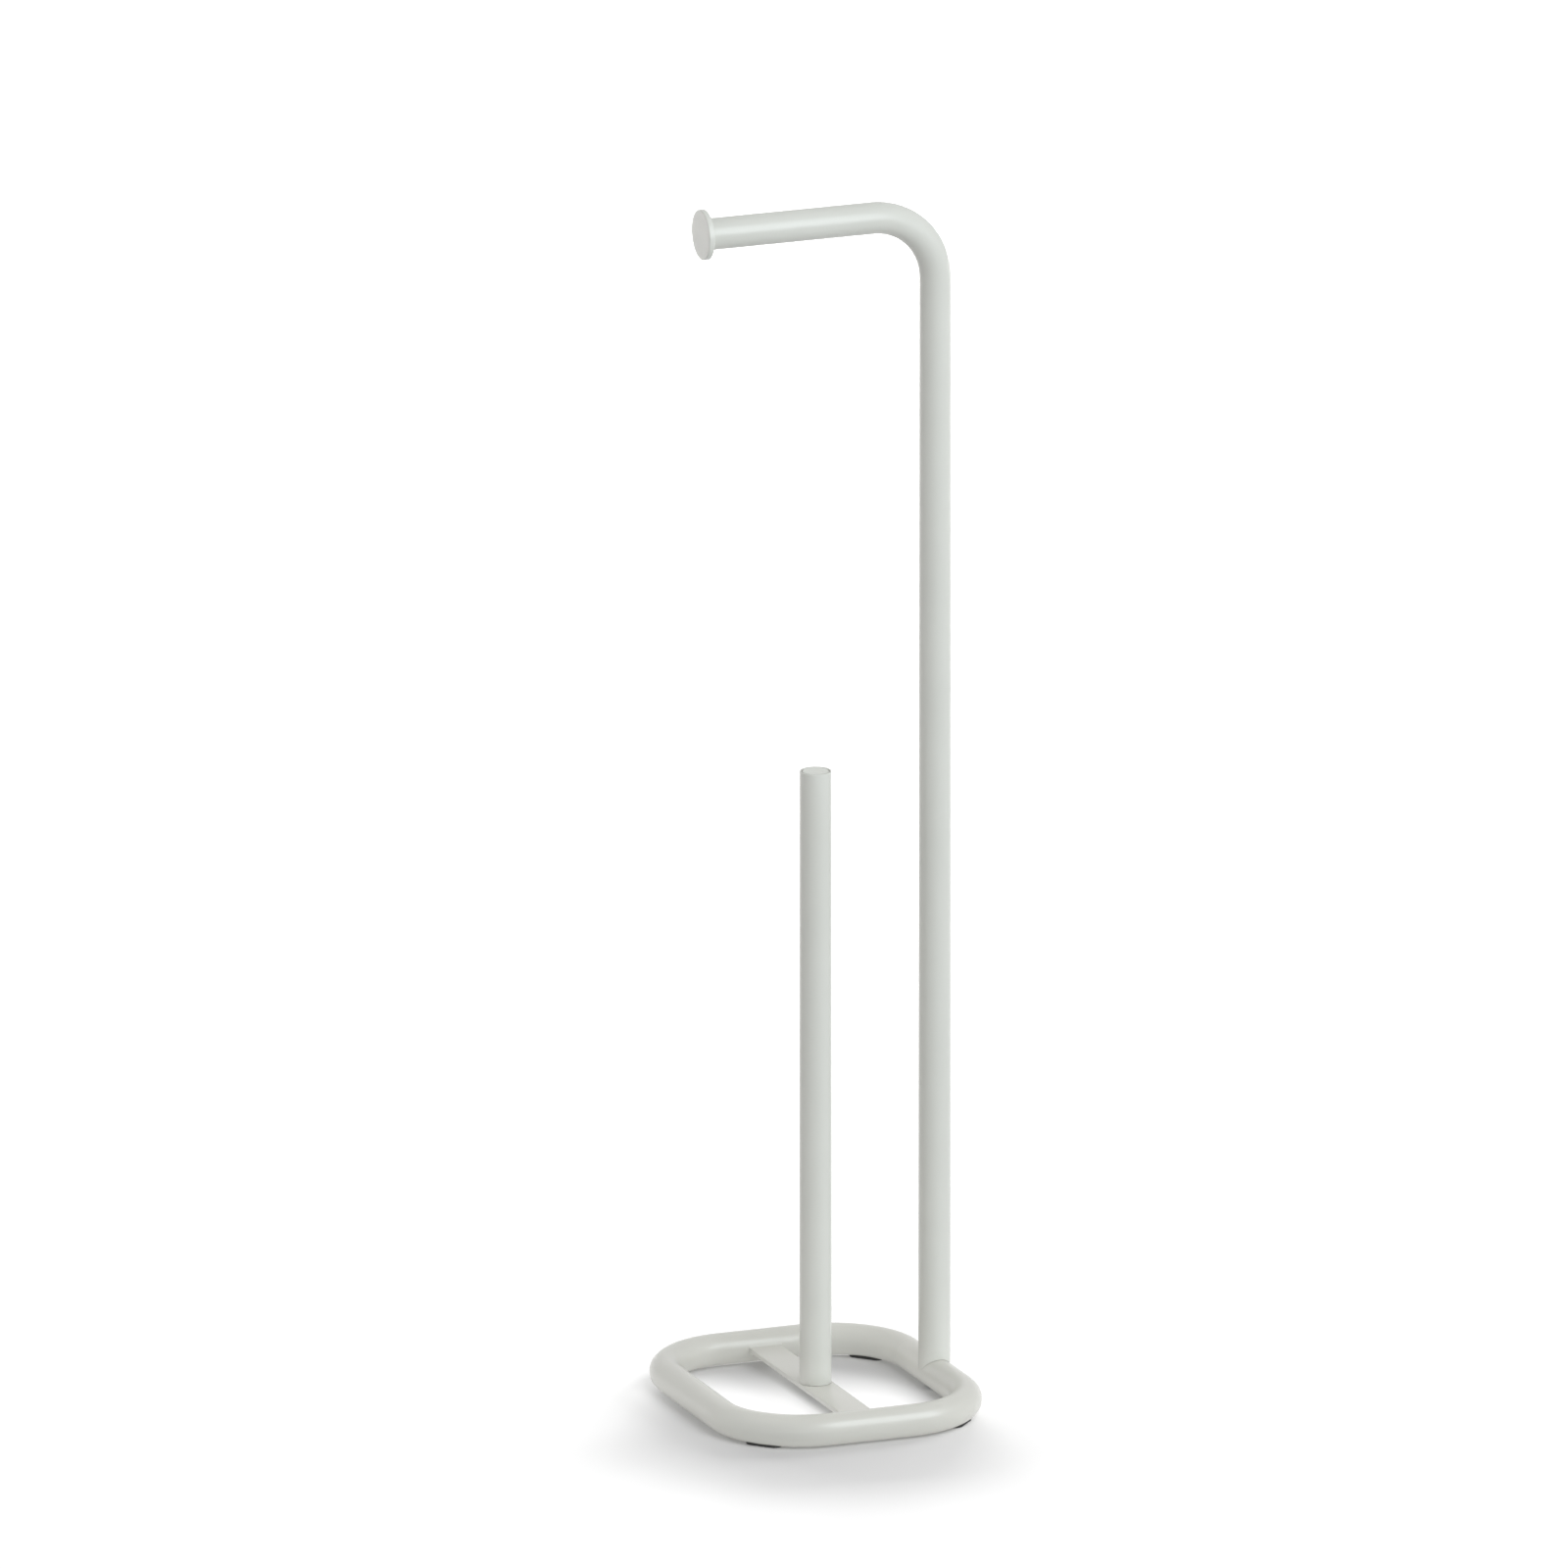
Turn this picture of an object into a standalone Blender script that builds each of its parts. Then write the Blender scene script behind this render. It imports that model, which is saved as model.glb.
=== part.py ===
"""Freestanding toilet paper holder of bent steel tube.

A ring of tube lies on four rubber pads, and a flat bar crosses it. A short post for spare rolls is screwed
to the bar, and a tall upright is screwed to the ring's right side and bends over into the roll arm.

Metres, Z up. X runs from the arm's end towards the upright and Y from front to rear. The origin is on the
floor, under the middle of the ring.
"""

import math

import bmesh
import bpy

# Steel tube of the ring, the upright and the post
TUBE_DIAMETER = 0.019
TUBE_WALL = 0.0012

# Overall sizes: the base over the outside of its tube, and the height over the arm's end disc
BASE_WIDTH = 0.170
BASE_DEPTH = 0.200
OVERALL_HEIGHT = 0.7345

# Base ring, whose corner radius is that of the tube's centre line
RING_CORNER_RADIUS = 0.049

# Rubber pads, which lift the ring off the floor, and their shift from the corners' middles to the sides
PAD_LIFT = 0.0006
PAD_WIDTH = 0.009
PAD_LENGTH = 0.022
PAD_SHIFT = 0.0016

# Flat bar across the ring
BAR_WIDTH = 0.020
BAR_THICKNESS = 0.003
BAR_TOP_ABOVE_RING_AXIS = 0.0015
BAR_EDGE_RADIUS = 0.0005
WELD_RADIUS = 0.0025

# Upright and roll arm
ARM_BEND_RADIUS = 0.040
ARM_REACH = 0.148
DISC_DIAMETER = 0.030
DISC_THICKNESS = 0.0035
DISC_EDGE_RADIUS = 0.0006
SPIGOT_LENGTH = 0.014
SPIGOT_LEAD_IN = 0.001

# Spare roll post and its plug
POST_TOP_HEIGHT = 0.3865
PLUG_LENGTH = 0.012
PLUG_SKIN = 0.0016
PLUG_EDGE = 0.0003

# Screwed joints
SCREW_DIAMETER = 0.006
SCREW_HEAD_DIAMETER = 0.010
SCREW_HEAD_HEIGHT = 0.0022
SCREW_CHAMFER = 0.0005
SOCKET_ACROSS_FLATS = 0.004
SOCKET_DEPTH = 0.0016
UPRIGHT_SCREW_LENGTH = 0.020
POST_SCREW_LENGTH = 0.016
WASHER_MARGIN = 0.001
WASHER_THICKNESS = 0.001
SADDLE_WASHER_THICKNESS = 0.0037
ACCESS_MARGIN = 0.0015
INSERT_LENGTH = 0.016
INSERT_CHAMFER = 0.0008

# Clearance between pieces that touch, how far cuts run past what they cut, and how near points are merged
SEAT_GAP = 0.0003
OVERRUN = 0.002
MERGE_DISTANCE = 0.000001

# Fineness of the round shapes
TUBE_SIDES = 32
BORE_SIDES = 24
CORNER_STEPS = 12
BEND_STEPS = 18
TURN_STEPS = 32
DISC_STEPS = 48
EDGE_STEPS = 4
PAD_STEPS = 6
BAR_EDGE_STEPS = 2
SOCKET_SIDES = 6
SHARP_ANGLE = math.radians(35)

# Places that follow from the sizes
TUBE_RADIUS = TUBE_DIAMETER / 2
BORE_RADIUS = TUBE_RADIUS - TUBE_WALL
RING_HALF_WIDTH = BASE_WIDTH / 2 - TUBE_RADIUS
RING_HALF_DEPTH = BASE_DEPTH / 2 - TUBE_RADIUS
RING_AXIS_HEIGHT = PAD_LIFT + TUBE_RADIUS
BAR_TOP = BAR_TOP_ABOVE_RING_AXIS
BAR_BOTTOM = BAR_TOP - BAR_THICKNESS
ARM_AXIS_ABOVE_RING = OVERALL_HEIGHT - DISC_DIAMETER / 2 - RING_AXIS_HEIGHT
SCREW_HOLE_RADIUS = SCREW_DIAMETER / 2 + SEAT_GAP
WASHER_RADIUS = SCREW_HEAD_DIAMETER / 2 + WASHER_MARGIN
ACCESS_HOLE_RADIUS = SCREW_HEAD_DIAMETER / 2 + ACCESS_MARGIN
INSERT_RADIUS = BORE_RADIUS - SEAT_GAP

# Colours as linear red, green and blue, with roughness and metallic value
FINISHES = {
    "powder_coat": ((0.62, 0.62, 0.58), 0.38, 0.0),
    "plug_plastic": ((0.60, 0.61, 0.57), 0.45, 0.0),
    "black_rubber": ((0.02, 0.02, 0.02), 0.75, 0.0),
    "zinc_steel": ((0.62, 0.63, 0.65), 0.35, 1.0),
}


def clear_scene():
    for old in list(bpy.data.objects):
        bpy.data.objects.remove(old)


def new_collection(name):
    collection = bpy.data.collections.new(name)
    bpy.context.scene.collection.children.link(collection)
    return collection


def new_finish(name):
    colour, roughness, metallic = FINISHES[name]
    finish = bpy.data.materials.new(name)
    finish.use_nodes = True
    shader = finish.node_tree.nodes["Principled BSDF"]
    shader.inputs["Base Color"].default_value = (*colour, 1)
    shader.inputs["Roughness"].default_value = roughness
    shader.inputs["Metallic"].default_value = metallic
    return finish


def new_anchor(name, place):
    """Empty at a place, to which the pieces of one assembly are parented."""
    anchor = bpy.data.objects.new(name, None)
    anchor.location = place
    parts.objects.link(anchor)
    return anchor


def add_object(name, mesh, anchor, place=(0, 0, 0), turn=(0, 0, 0)):
    piece = bpy.data.objects.new(name, mesh)
    parts.objects.link(piece)
    piece.parent = anchor
    piece.location = place
    piece.rotation_euler = turn
    return piece


def mesh_of_curve(curve):
    """Closed mesh of a curve's tube or plate, with the loose caps welded on."""
    guide = bpy.data.objects.new(curve.name, curve)
    parts.objects.link(guide)
    depsgraph = bpy.context.evaluated_depsgraph_get()
    mesh = bpy.data.meshes.new_from_object(guide.evaluated_get(depsgraph))
    bpy.data.objects.remove(guide)
    shape = bmesh.new()
    shape.from_mesh(mesh)
    bmesh.ops.remove_doubles(shape, verts=shape.verts, dist=MERGE_DISTANCE)
    shape.to_mesh(mesh)
    shape.free()
    return mesh


def tube_mesh(name, path, radius, sides, closed=False, twist="Z_UP"):
    """Solid bar of round section along a path, which is also a tube's outer shape or its bore."""
    curve = bpy.data.curves.new(name, "CURVE")
    curve.dimensions = "3D"
    curve.twist_mode = twist
    curve.bevel_depth = radius
    curve.bevel_resolution = (sides - 4) // 2
    curve.use_fill_caps = not closed
    spline = curve.splines.new("POLY")
    spline.points.add(len(path) - 1)
    for point, place in zip(spline.points, path):
        point.co = (*place, 1)
    spline.use_cyclic_u = closed
    return mesh_of_curve(curve)


def plate_mesh(name, outline, thickness):
    """Flat plate from an outline in the XY plane, half its thickness above the plane and half below."""
    curve = bpy.data.curves.new(name, "CURVE")
    curve.dimensions = "2D"
    curve.fill_mode = "BOTH"
    curve.extrude = thickness / 2
    spline = curve.splines.new("POLY")
    spline.points.add(len(outline) - 1)
    for point, (x, y) in zip(spline.points, outline):
        point.co = (x, y, 0, 1)
    spline.use_cyclic_u = True
    return mesh_of_curve(curve)


def turned_mesh(name, profile, steps):
    """Turned solid from (radius, height) points that run down its outer side.

    A profile that ends off the axis is closed, and so leaves a bore.
    """
    mesh = bpy.data.meshes.new(name)
    shape = bmesh.new()
    corners = [shape.verts.new((radius, 0, height)) for radius, height in profile]
    for upper, lower in zip(corners, corners[1:]):
        shape.edges.new((upper, lower))
    if profile[0][0] > 0:
        shape.edges.new((corners[-1], corners[0]))
    shape.to_mesh(mesh)
    shape.free()
    blank = bpy.data.objects.new(name, mesh)
    parts.objects.link(blank)
    screw = blank.modifiers.new("turn", "SCREW")
    screw.axis = "Z"
    screw.angle = math.tau
    screw.steps = steps
    screw.render_steps = steps
    screw.use_merge_vertices = True
    screw.merge_threshold = MERGE_DISTANCE
    depsgraph = bpy.context.evaluated_depsgraph_get()
    turned = bpy.data.meshes.new_from_object(blank.evaluated_get(depsgraph))
    bpy.data.objects.remove(blank)
    return turned


def rod_mesh(name, radius, low, high, sides=TURN_STEPS):
    """Upright cylinder, or prism of few sides, between two heights."""
    return turned_mesh(name, [(0, high), (radius, high), (radius, low), (0, low)], sides)


def box_mesh(name, low, high):
    """Box between its lowest and its highest corner."""
    mesh = bpy.data.meshes.new(name)
    shape = bmesh.new()
    bmesh.ops.create_cube(shape, size=1)
    for corner in shape.verts:
        for axis in range(3):
            corner.co[axis] = high[axis] if corner.co[axis] > 0 else low[axis]
    shape.to_mesh(mesh)
    shape.free()
    return mesh


def cutter(name, mesh, anchor, place=(0, 0, 0), turn=(0, 0, 0)):
    tool = bpy.data.objects.new(name, mesh)
    cutters.objects.link(tool)
    tool.parent = anchor
    tool.location = place
    tool.rotation_euler = turn
    tool.hide_render = True
    tool.display_type = "WIRE"
    return tool


def cut(piece, *tools, operation="DIFFERENCE"):
    for tool in tools:
        boolean = piece.modifiers.new(tool.name, "BOOLEAN")
        boolean.operation = operation
        boolean.solver = "EXACT"
        boolean.object = tool


def finish_piece(piece, finish):
    """Fix the modifiers' result as the piece's mesh, shade it and give it its material."""
    depsgraph = bpy.context.evaluated_depsgraph_get()
    mesh = bpy.data.meshes.new_from_object(piece.evaluated_get(depsgraph))
    piece.modifiers.clear()
    piece.data = mesh
    mesh.name = piece.name
    mesh.materials.clear()
    mesh.materials.append(finishes[finish])
    mesh.shade_smooth()
    mesh.set_sharp_from_angle(angle=SHARP_ANGLE)


def arc(centre, radius, start, end, steps):
    """Points along an arc about a centre, both ends included, in a plane of two coordinates."""
    angles = [start + (end - start) * step / steps for step in range(steps + 1)]
    return [(centre[0] + radius * math.cos(a), centre[1] + radius * math.sin(a)) for a in angles]


def corner_centres():
    """Centres of the ring's corner arcs and each arc's middle direction, anticlockwise from the rear right."""
    across = RING_HALF_WIDTH - RING_CORNER_RADIUS
    along = RING_HALF_DEPTH - RING_CORNER_RADIUS
    sides = ((1, 1), (-1, 1), (-1, -1), (1, -1))
    return [((x * across, y * along), math.pi / 4 + turn * math.pi / 2) for turn, (x, y) in enumerate(sides)]


def ring_path():
    """Centre line of the ring's tube, about the ring's own middle."""
    path = []
    for centre, middle in corner_centres():
        start, end = middle - math.pi / 4, middle + math.pi / 4
        path += arc(centre, RING_CORNER_RADIUS, start, end, CORNER_STEPS)
    return [(x, y, 0) for x, y in path]


def upright_path(start, end_past_arm):
    """Centre line of the upright and arm about the ring's axis, from a start height to past the arm's end."""
    bend_x, bend_z = -ARM_BEND_RADIUS, ARM_AXIS_ABOVE_RING - ARM_BEND_RADIUS
    bend = arc((bend_x, bend_z), ARM_BEND_RADIUS, 0, math.pi / 2, BEND_STEPS)
    arm_end = -ARM_REACH + DISC_THICKNESS + SEAT_GAP - end_past_arm
    path = [(0, start), *bend, (arm_end, ARM_AXIS_ABOVE_RING)]
    return [(x, 0, z) for x, z in path]


def pad_outline():
    """Bent strip with round ends, along an arc of the ring's corner radius that is centred on +X."""
    half = PAD_WIDTH / 2
    reach = (PAD_LENGTH / 2 - half) / RING_CORNER_RADIUS
    outer = arc((0, 0), RING_CORNER_RADIUS + half, -reach, reach, PAD_STEPS)
    inner = arc((0, 0), RING_CORNER_RADIUS - half, reach, -reach, PAD_STEPS)
    end_x, end_y = RING_CORNER_RADIUS * math.cos(reach), RING_CORNER_RADIUS * math.sin(reach)
    far_end = arc((end_x, end_y), half, reach, reach + math.pi, PAD_STEPS)
    near_end = arc((end_x, -end_y), half, math.pi - reach, math.tau - reach, PAD_STEPS)
    return outer + far_end[1:-1] + inner + near_end[1:-1]


def screw_mesh(name, length):
    """Socket screw with its head's seat at height 0 and its shank above it."""
    shank, head = SCREW_DIAMETER / 2, SCREW_HEAD_DIAMETER / 2
    profile = [
        (0, length),
        (shank - SCREW_CHAMFER, length),
        (shank, length - SCREW_CHAMFER),
        (shank, 0),
        (head, 0),
        (head, SCREW_CHAMFER - SCREW_HEAD_HEIGHT),
        (head - SCREW_CHAMFER, -SCREW_HEAD_HEIGHT),
        (0, -SCREW_HEAD_HEIGHT),
    ]
    return turned_mesh(name, profile, TURN_STEPS)


def add_screw(name, length, anchor, seat):
    """Screw that points up, with a hexagon socket in the underside of its head."""
    screw = add_object(name, screw_mesh(name, length), anchor, place=(0, 0, seat))
    socket_radius = SOCKET_ACROSS_FLATS / math.sqrt(3)
    low, high = -SCREW_HEAD_HEIGHT - OVERRUN, SOCKET_DEPTH - SCREW_HEAD_HEIGHT
    socket = rod_mesh(name + "_socket", socket_radius, low, high, SOCKET_SIDES)
    cut(screw, cutter(name + "_socket", socket, screw))
    finish_piece(screw, "zinc_steel")


def add_insert(name, anchor, bottom):
    """Threaded plug in the lower end of a tube, with a chamfer at its top."""
    top = bottom + INSERT_LENGTH
    profile = [
        (SCREW_HOLE_RADIUS, top),
        (INSERT_RADIUS - INSERT_CHAMFER, top),
        (INSERT_RADIUS, top - INSERT_CHAMFER),
        (INSERT_RADIUS, bottom),
        (SCREW_HOLE_RADIUS, bottom),
    ]
    insert = add_object(name, turned_mesh(name, profile, TURN_STEPS), anchor)
    finish_piece(insert, "zinc_steel")


def make_base_ring():
    """Ring of tube, with a screw hole in its top at the upright and a wider hole below it for the screw."""
    ring = add_object("base_ring", tube_mesh("base_ring", ring_path(), TUBE_RADIUS, TUBE_SIDES, True), base)
    bore = tube_mesh("ring_bore", ring_path(), BORE_RADIUS, BORE_SIDES, True)
    reach = TUBE_RADIUS + OVERRUN
    screw_hole = rod_mesh("ring_screw_hole", SCREW_HOLE_RADIUS, 0, reach)
    access_hole = rod_mesh("ring_access_hole", ACCESS_HOLE_RADIUS, -reach, 0)
    cut(ring, cutter("ring_bore", bore, base))
    cut(ring, cutter("ring_screw_hole", screw_hole, upright))
    cut(ring, cutter("ring_access_hole", access_hole, upright))
    finish_piece(ring, "powder_coat")


def make_pads():
    """Four pads under the corners, hollowed on top to the tube that they carry."""
    names = ("foot_pad_rear_right", "foot_pad_rear_left", "foot_pad_front_left", "foot_pad_front_right")
    for name, ((x, y), middle) in zip(names, corner_centres()):
        shift = -math.copysign(PAD_SHIFT / RING_CORNER_RADIUS, x * y)
        mesh = plate_mesh(name, pad_outline(), RING_AXIS_HEIGHT)
        place = (x, y, -RING_AXIS_HEIGHT / 2)
        pad = add_object(name, mesh, base, place=place, turn=(0, 0, middle + shift))
        cut(pad, ring_seat)
        finish_piece(pad, "black_rubber")


def make_crossbar():
    """Flat bar whose ends are coped to the ring's front and rear sides, with a hole for the post's screw."""
    half = BAR_WIDTH / 2
    mesh = box_mesh("crossbar", (-half, -RING_HALF_DEPTH, BAR_BOTTOM), (half, RING_HALF_DEPTH, BAR_TOP))
    bar = add_object("crossbar", mesh, base)
    bevel = bar.modifiers.new("rounded edges", "BEVEL")
    bevel.width = BAR_EDGE_RADIUS
    bevel.segments = BAR_EDGE_STEPS
    hole = rod_mesh("bar_screw_hole", SCREW_HOLE_RADIUS, BAR_BOTTOM - OVERRUN, BAR_TOP + OVERRUN)
    cut(bar, ring_seat, cutter("bar_screw_hole", hole, base))
    finish_piece(bar, "powder_coat")


def make_crossbar_welds():
    """Bead in the corner between the bar's underside and the ring, at the front and at the rear."""
    half = BAR_WIDTH / 2
    for name, side in (("crossbar_weld_front", -1), ("crossbar_weld_rear", 1)):
        y = side * (RING_HALF_DEPTH - TUBE_RADIUS)
        path = [(-half, y, BAR_BOTTOM), (half, y, BAR_BOTTOM)]
        bead = add_object(name, tube_mesh(name, path, WELD_RADIUS, BORE_SIDES), base)
        reach = WELD_RADIUS + OVERRUN
        low = (-half - OVERRUN, y - reach, BAR_BOTTOM - SEAT_GAP)
        high = (half + OVERRUN, y + reach, BAR_BOTTOM + reach)
        cut(bead, ring_seat, cutter(name + "_bar_seat", box_mesh(name + "_bar_seat", low, high), base))
        finish_piece(bead, "powder_coat")


def make_upright():
    """Tube coped over the ring's side, straight up, and bent over into the roll arm."""
    outer = tube_mesh("upright_tube", upright_path(0, 0), TUBE_RADIUS, TUBE_SIDES, twist="MINIMUM")
    tube = add_object("upright_tube", outer, upright)
    bore_path = upright_path(-OVERRUN, OVERRUN)
    bore = tube_mesh("upright_bore", bore_path, BORE_RADIUS, BORE_SIDES, twist="MINIMUM")
    cut(tube, cutter("upright_bore", bore, upright), ring_seat)
    finish_piece(tube, "powder_coat")


def make_upright_joint():
    """Insert in the upright's foot, and the screw and curved washer that draw it down onto the ring."""
    add_insert("upright_insert", upright, TUBE_RADIUS + SEAT_GAP)
    crown = BORE_RADIUS - SEAT_GAP
    seat = crown - SADDLE_WASHER_THICKNESS
    profile = [
        (SCREW_HOLE_RADIUS, BORE_RADIUS),
        (WASHER_RADIUS, BORE_RADIUS),
        (WASHER_RADIUS, seat),
        (SCREW_HOLE_RADIUS, seat),
    ]
    mesh = turned_mesh("upright_saddle_washer", profile, TURN_STEPS)
    washer = add_object("upright_saddle_washer", mesh, upright)
    reach = WASHER_RADIUS + OVERRUN
    crown_mesh = tube_mesh("washer_crown", [(0, -reach, 0), (0, reach, 0)], crown, BORE_SIDES)
    cut(washer, cutter("washer_crown", crown_mesh, upright), operation="INTERSECT")
    finish_piece(washer, "zinc_steel")
    add_screw("upright_screw", UPRIGHT_SCREW_LENGTH, upright, seat - SEAT_GAP)


def make_arm_end_disc():
    """Disc that closes the arm's end and keeps the roll on, with a spigot in the tube."""
    rim = DISC_DIAMETER / 2 - DISC_EDGE_RADIUS
    outer_edge = arc((rim, DISC_THICKNESS - DISC_EDGE_RADIUS), DISC_EDGE_RADIUS, math.pi / 2, 0, EDGE_STEPS)
    inner_edge = arc((rim, DISC_EDGE_RADIUS), DISC_EDGE_RADIUS, 0, -math.pi / 2, EDGE_STEPS)
    profile = [
        (0, DISC_THICKNESS),
        *outer_edge,
        *inner_edge,
        (INSERT_RADIUS, 0),
        (INSERT_RADIUS, SPIGOT_LEAD_IN - SPIGOT_LENGTH),
        (INSERT_RADIUS - SPIGOT_LEAD_IN, -SPIGOT_LENGTH),
        (0, -SPIGOT_LENGTH),
    ]
    place = (-ARM_REACH + DISC_THICKNESS, 0, ARM_AXIS_ABOVE_RING)
    mesh = turned_mesh("arm_end_disc", profile, DISC_STEPS)
    disc = add_object("arm_end_disc", mesh, upright, place=place, turn=(0, -math.pi / 2, 0))
    finish_piece(disc, "powder_coat")


def make_post():
    """Straight tube with a flush plug in its top and a threaded insert in its foot."""
    top = POST_TOP_HEIGHT - RING_AXIS_HEIGHT - BAR_TOP
    path = [(0, 0, SEAT_GAP), (0, 0, top)]
    outer = tube_mesh("post_tube", path, TUBE_RADIUS, TUBE_SIDES, twist="MINIMUM")
    tube = add_object("post_tube", outer, post)
    bore = rod_mesh("post_bore", BORE_RADIUS, -OVERRUN, top + OVERRUN, BORE_SIDES)
    cut(tube, cutter("post_bore", bore, post))
    finish_piece(tube, "powder_coat")
    add_insert("post_insert", post, SEAT_GAP)

    inside = INSERT_RADIUS - PLUG_SKIN
    profile = [
        (0, top),
        (INSERT_RADIUS - PLUG_EDGE, top),
        (INSERT_RADIUS, top - PLUG_EDGE),
        (INSERT_RADIUS, top - PLUG_LENGTH),
        (inside, top - PLUG_LENGTH),
        (inside, top - PLUG_SKIN),
        (0, top - PLUG_SKIN),
    ]
    plug = add_object("post_top_plug", turned_mesh("post_top_plug", profile, TURN_STEPS), post)
    finish_piece(plug, "plug_plastic")


def make_post_joint():
    """Screw and flat washer under the crossbar, which hold the post."""
    top = -BAR_THICKNESS - SEAT_GAP
    seat = top - WASHER_THICKNESS
    profile = [
        (SCREW_HOLE_RADIUS, top),
        (WASHER_RADIUS, top),
        (WASHER_RADIUS, seat),
        (SCREW_HOLE_RADIUS, seat),
    ]
    washer = add_object("post_washer", turned_mesh("post_washer", profile, TURN_STEPS), post)
    finish_piece(washer, "zinc_steel")
    add_screw("post_screw", POST_SCREW_LENGTH, post, seat - SEAT_GAP)


clear_scene()
parts = new_collection("toilet_paper_holder")
cutters = new_collection("cutters")
finishes = {name: new_finish(name) for name in FINISHES}
base = new_anchor("base_assembly", (0, 0, RING_AXIS_HEIGHT))
upright = new_anchor("upright_assembly", (RING_HALF_WIDTH, 0, RING_AXIS_HEIGHT))
post = new_anchor("post_assembly", (0, 0, RING_AXIS_HEIGHT + BAR_TOP))
ring_seat_mesh = tube_mesh("ring_seat", ring_path(), TUBE_RADIUS + SEAT_GAP, TUBE_SIDES, True)
ring_seat = cutter("ring_seat", ring_seat_mesh, base)

make_base_ring()
make_pads()
make_crossbar()
make_crossbar_welds()
make_upright()
make_upright_joint()
make_arm_end_disc()
make_post()
make_post_joint()
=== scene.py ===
# %% [markdown]
# # Freestanding toilet paper holder
#
# This stand is bent from 19 mm steel tube. A ring lies on four rubber pads, a flat bar crosses the ring, a
# short post on the bar takes spare rolls, and a tall upright bends over into the arm for the roll in use.
#
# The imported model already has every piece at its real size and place. This lesson dresses it: each cell
# builds one piece with finer edges, or mixes one finish. Lengths are in metres, Z is up, X runs from the
# arm's end towards the upright and Y from front to rear.

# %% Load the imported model
import math

import bmesh
import bpy
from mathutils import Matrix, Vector


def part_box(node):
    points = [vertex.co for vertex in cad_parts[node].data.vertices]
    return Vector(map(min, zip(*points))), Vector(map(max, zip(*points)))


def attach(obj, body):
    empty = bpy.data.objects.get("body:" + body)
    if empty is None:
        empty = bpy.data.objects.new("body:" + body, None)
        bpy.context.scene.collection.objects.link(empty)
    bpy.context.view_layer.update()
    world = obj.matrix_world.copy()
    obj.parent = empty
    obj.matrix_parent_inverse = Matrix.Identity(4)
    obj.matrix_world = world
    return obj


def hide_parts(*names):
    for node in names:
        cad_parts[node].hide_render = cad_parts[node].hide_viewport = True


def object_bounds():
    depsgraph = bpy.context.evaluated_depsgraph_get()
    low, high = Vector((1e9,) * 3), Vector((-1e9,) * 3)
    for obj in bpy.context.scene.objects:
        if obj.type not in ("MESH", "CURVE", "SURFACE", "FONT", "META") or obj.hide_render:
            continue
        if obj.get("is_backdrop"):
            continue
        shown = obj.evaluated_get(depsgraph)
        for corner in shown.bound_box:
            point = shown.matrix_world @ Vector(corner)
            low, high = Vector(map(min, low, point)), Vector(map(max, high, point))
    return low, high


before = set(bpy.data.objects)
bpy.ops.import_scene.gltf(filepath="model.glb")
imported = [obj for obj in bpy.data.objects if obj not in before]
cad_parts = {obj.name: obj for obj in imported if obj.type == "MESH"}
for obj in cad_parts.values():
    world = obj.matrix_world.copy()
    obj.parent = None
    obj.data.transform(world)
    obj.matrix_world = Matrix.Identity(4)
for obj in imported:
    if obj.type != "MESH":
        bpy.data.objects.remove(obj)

cad_low, cad_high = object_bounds()
print("nodes:", ", ".join(sorted(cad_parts)))
print("box in mm:", [round(side * 1000, 1) for side in cad_high - cad_low])

# %% [markdown]
# ## Camera
#
# The stand was photographed from far away with a long lens, so its tubes hardly converge. A camera can be
# moved until the picture looks right, but it is steadier to work it out: two angles give the direction, one
# scale gives the lens, and one point of the object with its pixel gives the sideways place. The point here
# is the middle of the ring, at the height of its tube's axis.

# %% Place the camera
PHOTO_SIDE = 1600
SENSOR_WIDTH = 36
VIEW_AZIMUTH = math.radians(-21.369)
VIEW_ELEVATION = math.radians(15.498)
VIEW_DISTANCE = 25.846
PIXELS_PER_METRE = 1726.52
RING_MIDDLE_PIXEL = (832.157, 1412.655)
TUBE_RADIUS = 0.0095

ring_low, ring_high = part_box("base_ring")
RING_AXIS_HEIGHT = ring_low.z + TUBE_RADIUS
ring_middle = Vector((0, 0, RING_AXIS_HEIGHT))

towards_camera = Vector((
    math.sin(VIEW_AZIMUTH) * math.cos(VIEW_ELEVATION),
    -math.cos(VIEW_AZIMUTH) * math.cos(VIEW_ELEVATION),
    math.sin(VIEW_ELEVATION),
))
picture_right = Vector((math.cos(VIEW_AZIMUTH), math.sin(VIEW_AZIMUTH), 0))
picture_up = towards_camera.cross(picture_right)
aside = (RING_MIDDLE_PIXEL[0] - PHOTO_SIDE / 2) / PIXELS_PER_METRE
below = (RING_MIDDLE_PIXEL[1] - PHOTO_SIDE / 2) / PIXELS_PER_METRE

camera = bpy.data.objects.new("camera", bpy.data.cameras.new("camera"))
bpy.context.scene.collection.objects.link(camera)
camera.data.sensor_width = SENSOR_WIDTH
camera.data.lens = SENSOR_WIDTH * PIXELS_PER_METRE * VIEW_DISTANCE / PHOTO_SIDE
camera.data.clip_end = 4 * VIEW_DISTANCE
camera.location = ring_middle + towards_camera * VIEW_DISTANCE - picture_right * aside + picture_up * below
camera.rotation_mode = "QUATERNION"
camera.rotation_quaternion = (-towards_camera).to_track_quat("-Z", "Y")
bpy.context.scene.camera = camera
print("camera at", [round(c, 2) for c in camera.location], "lens", round(camera.data.lens, 1), "mm")

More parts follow.
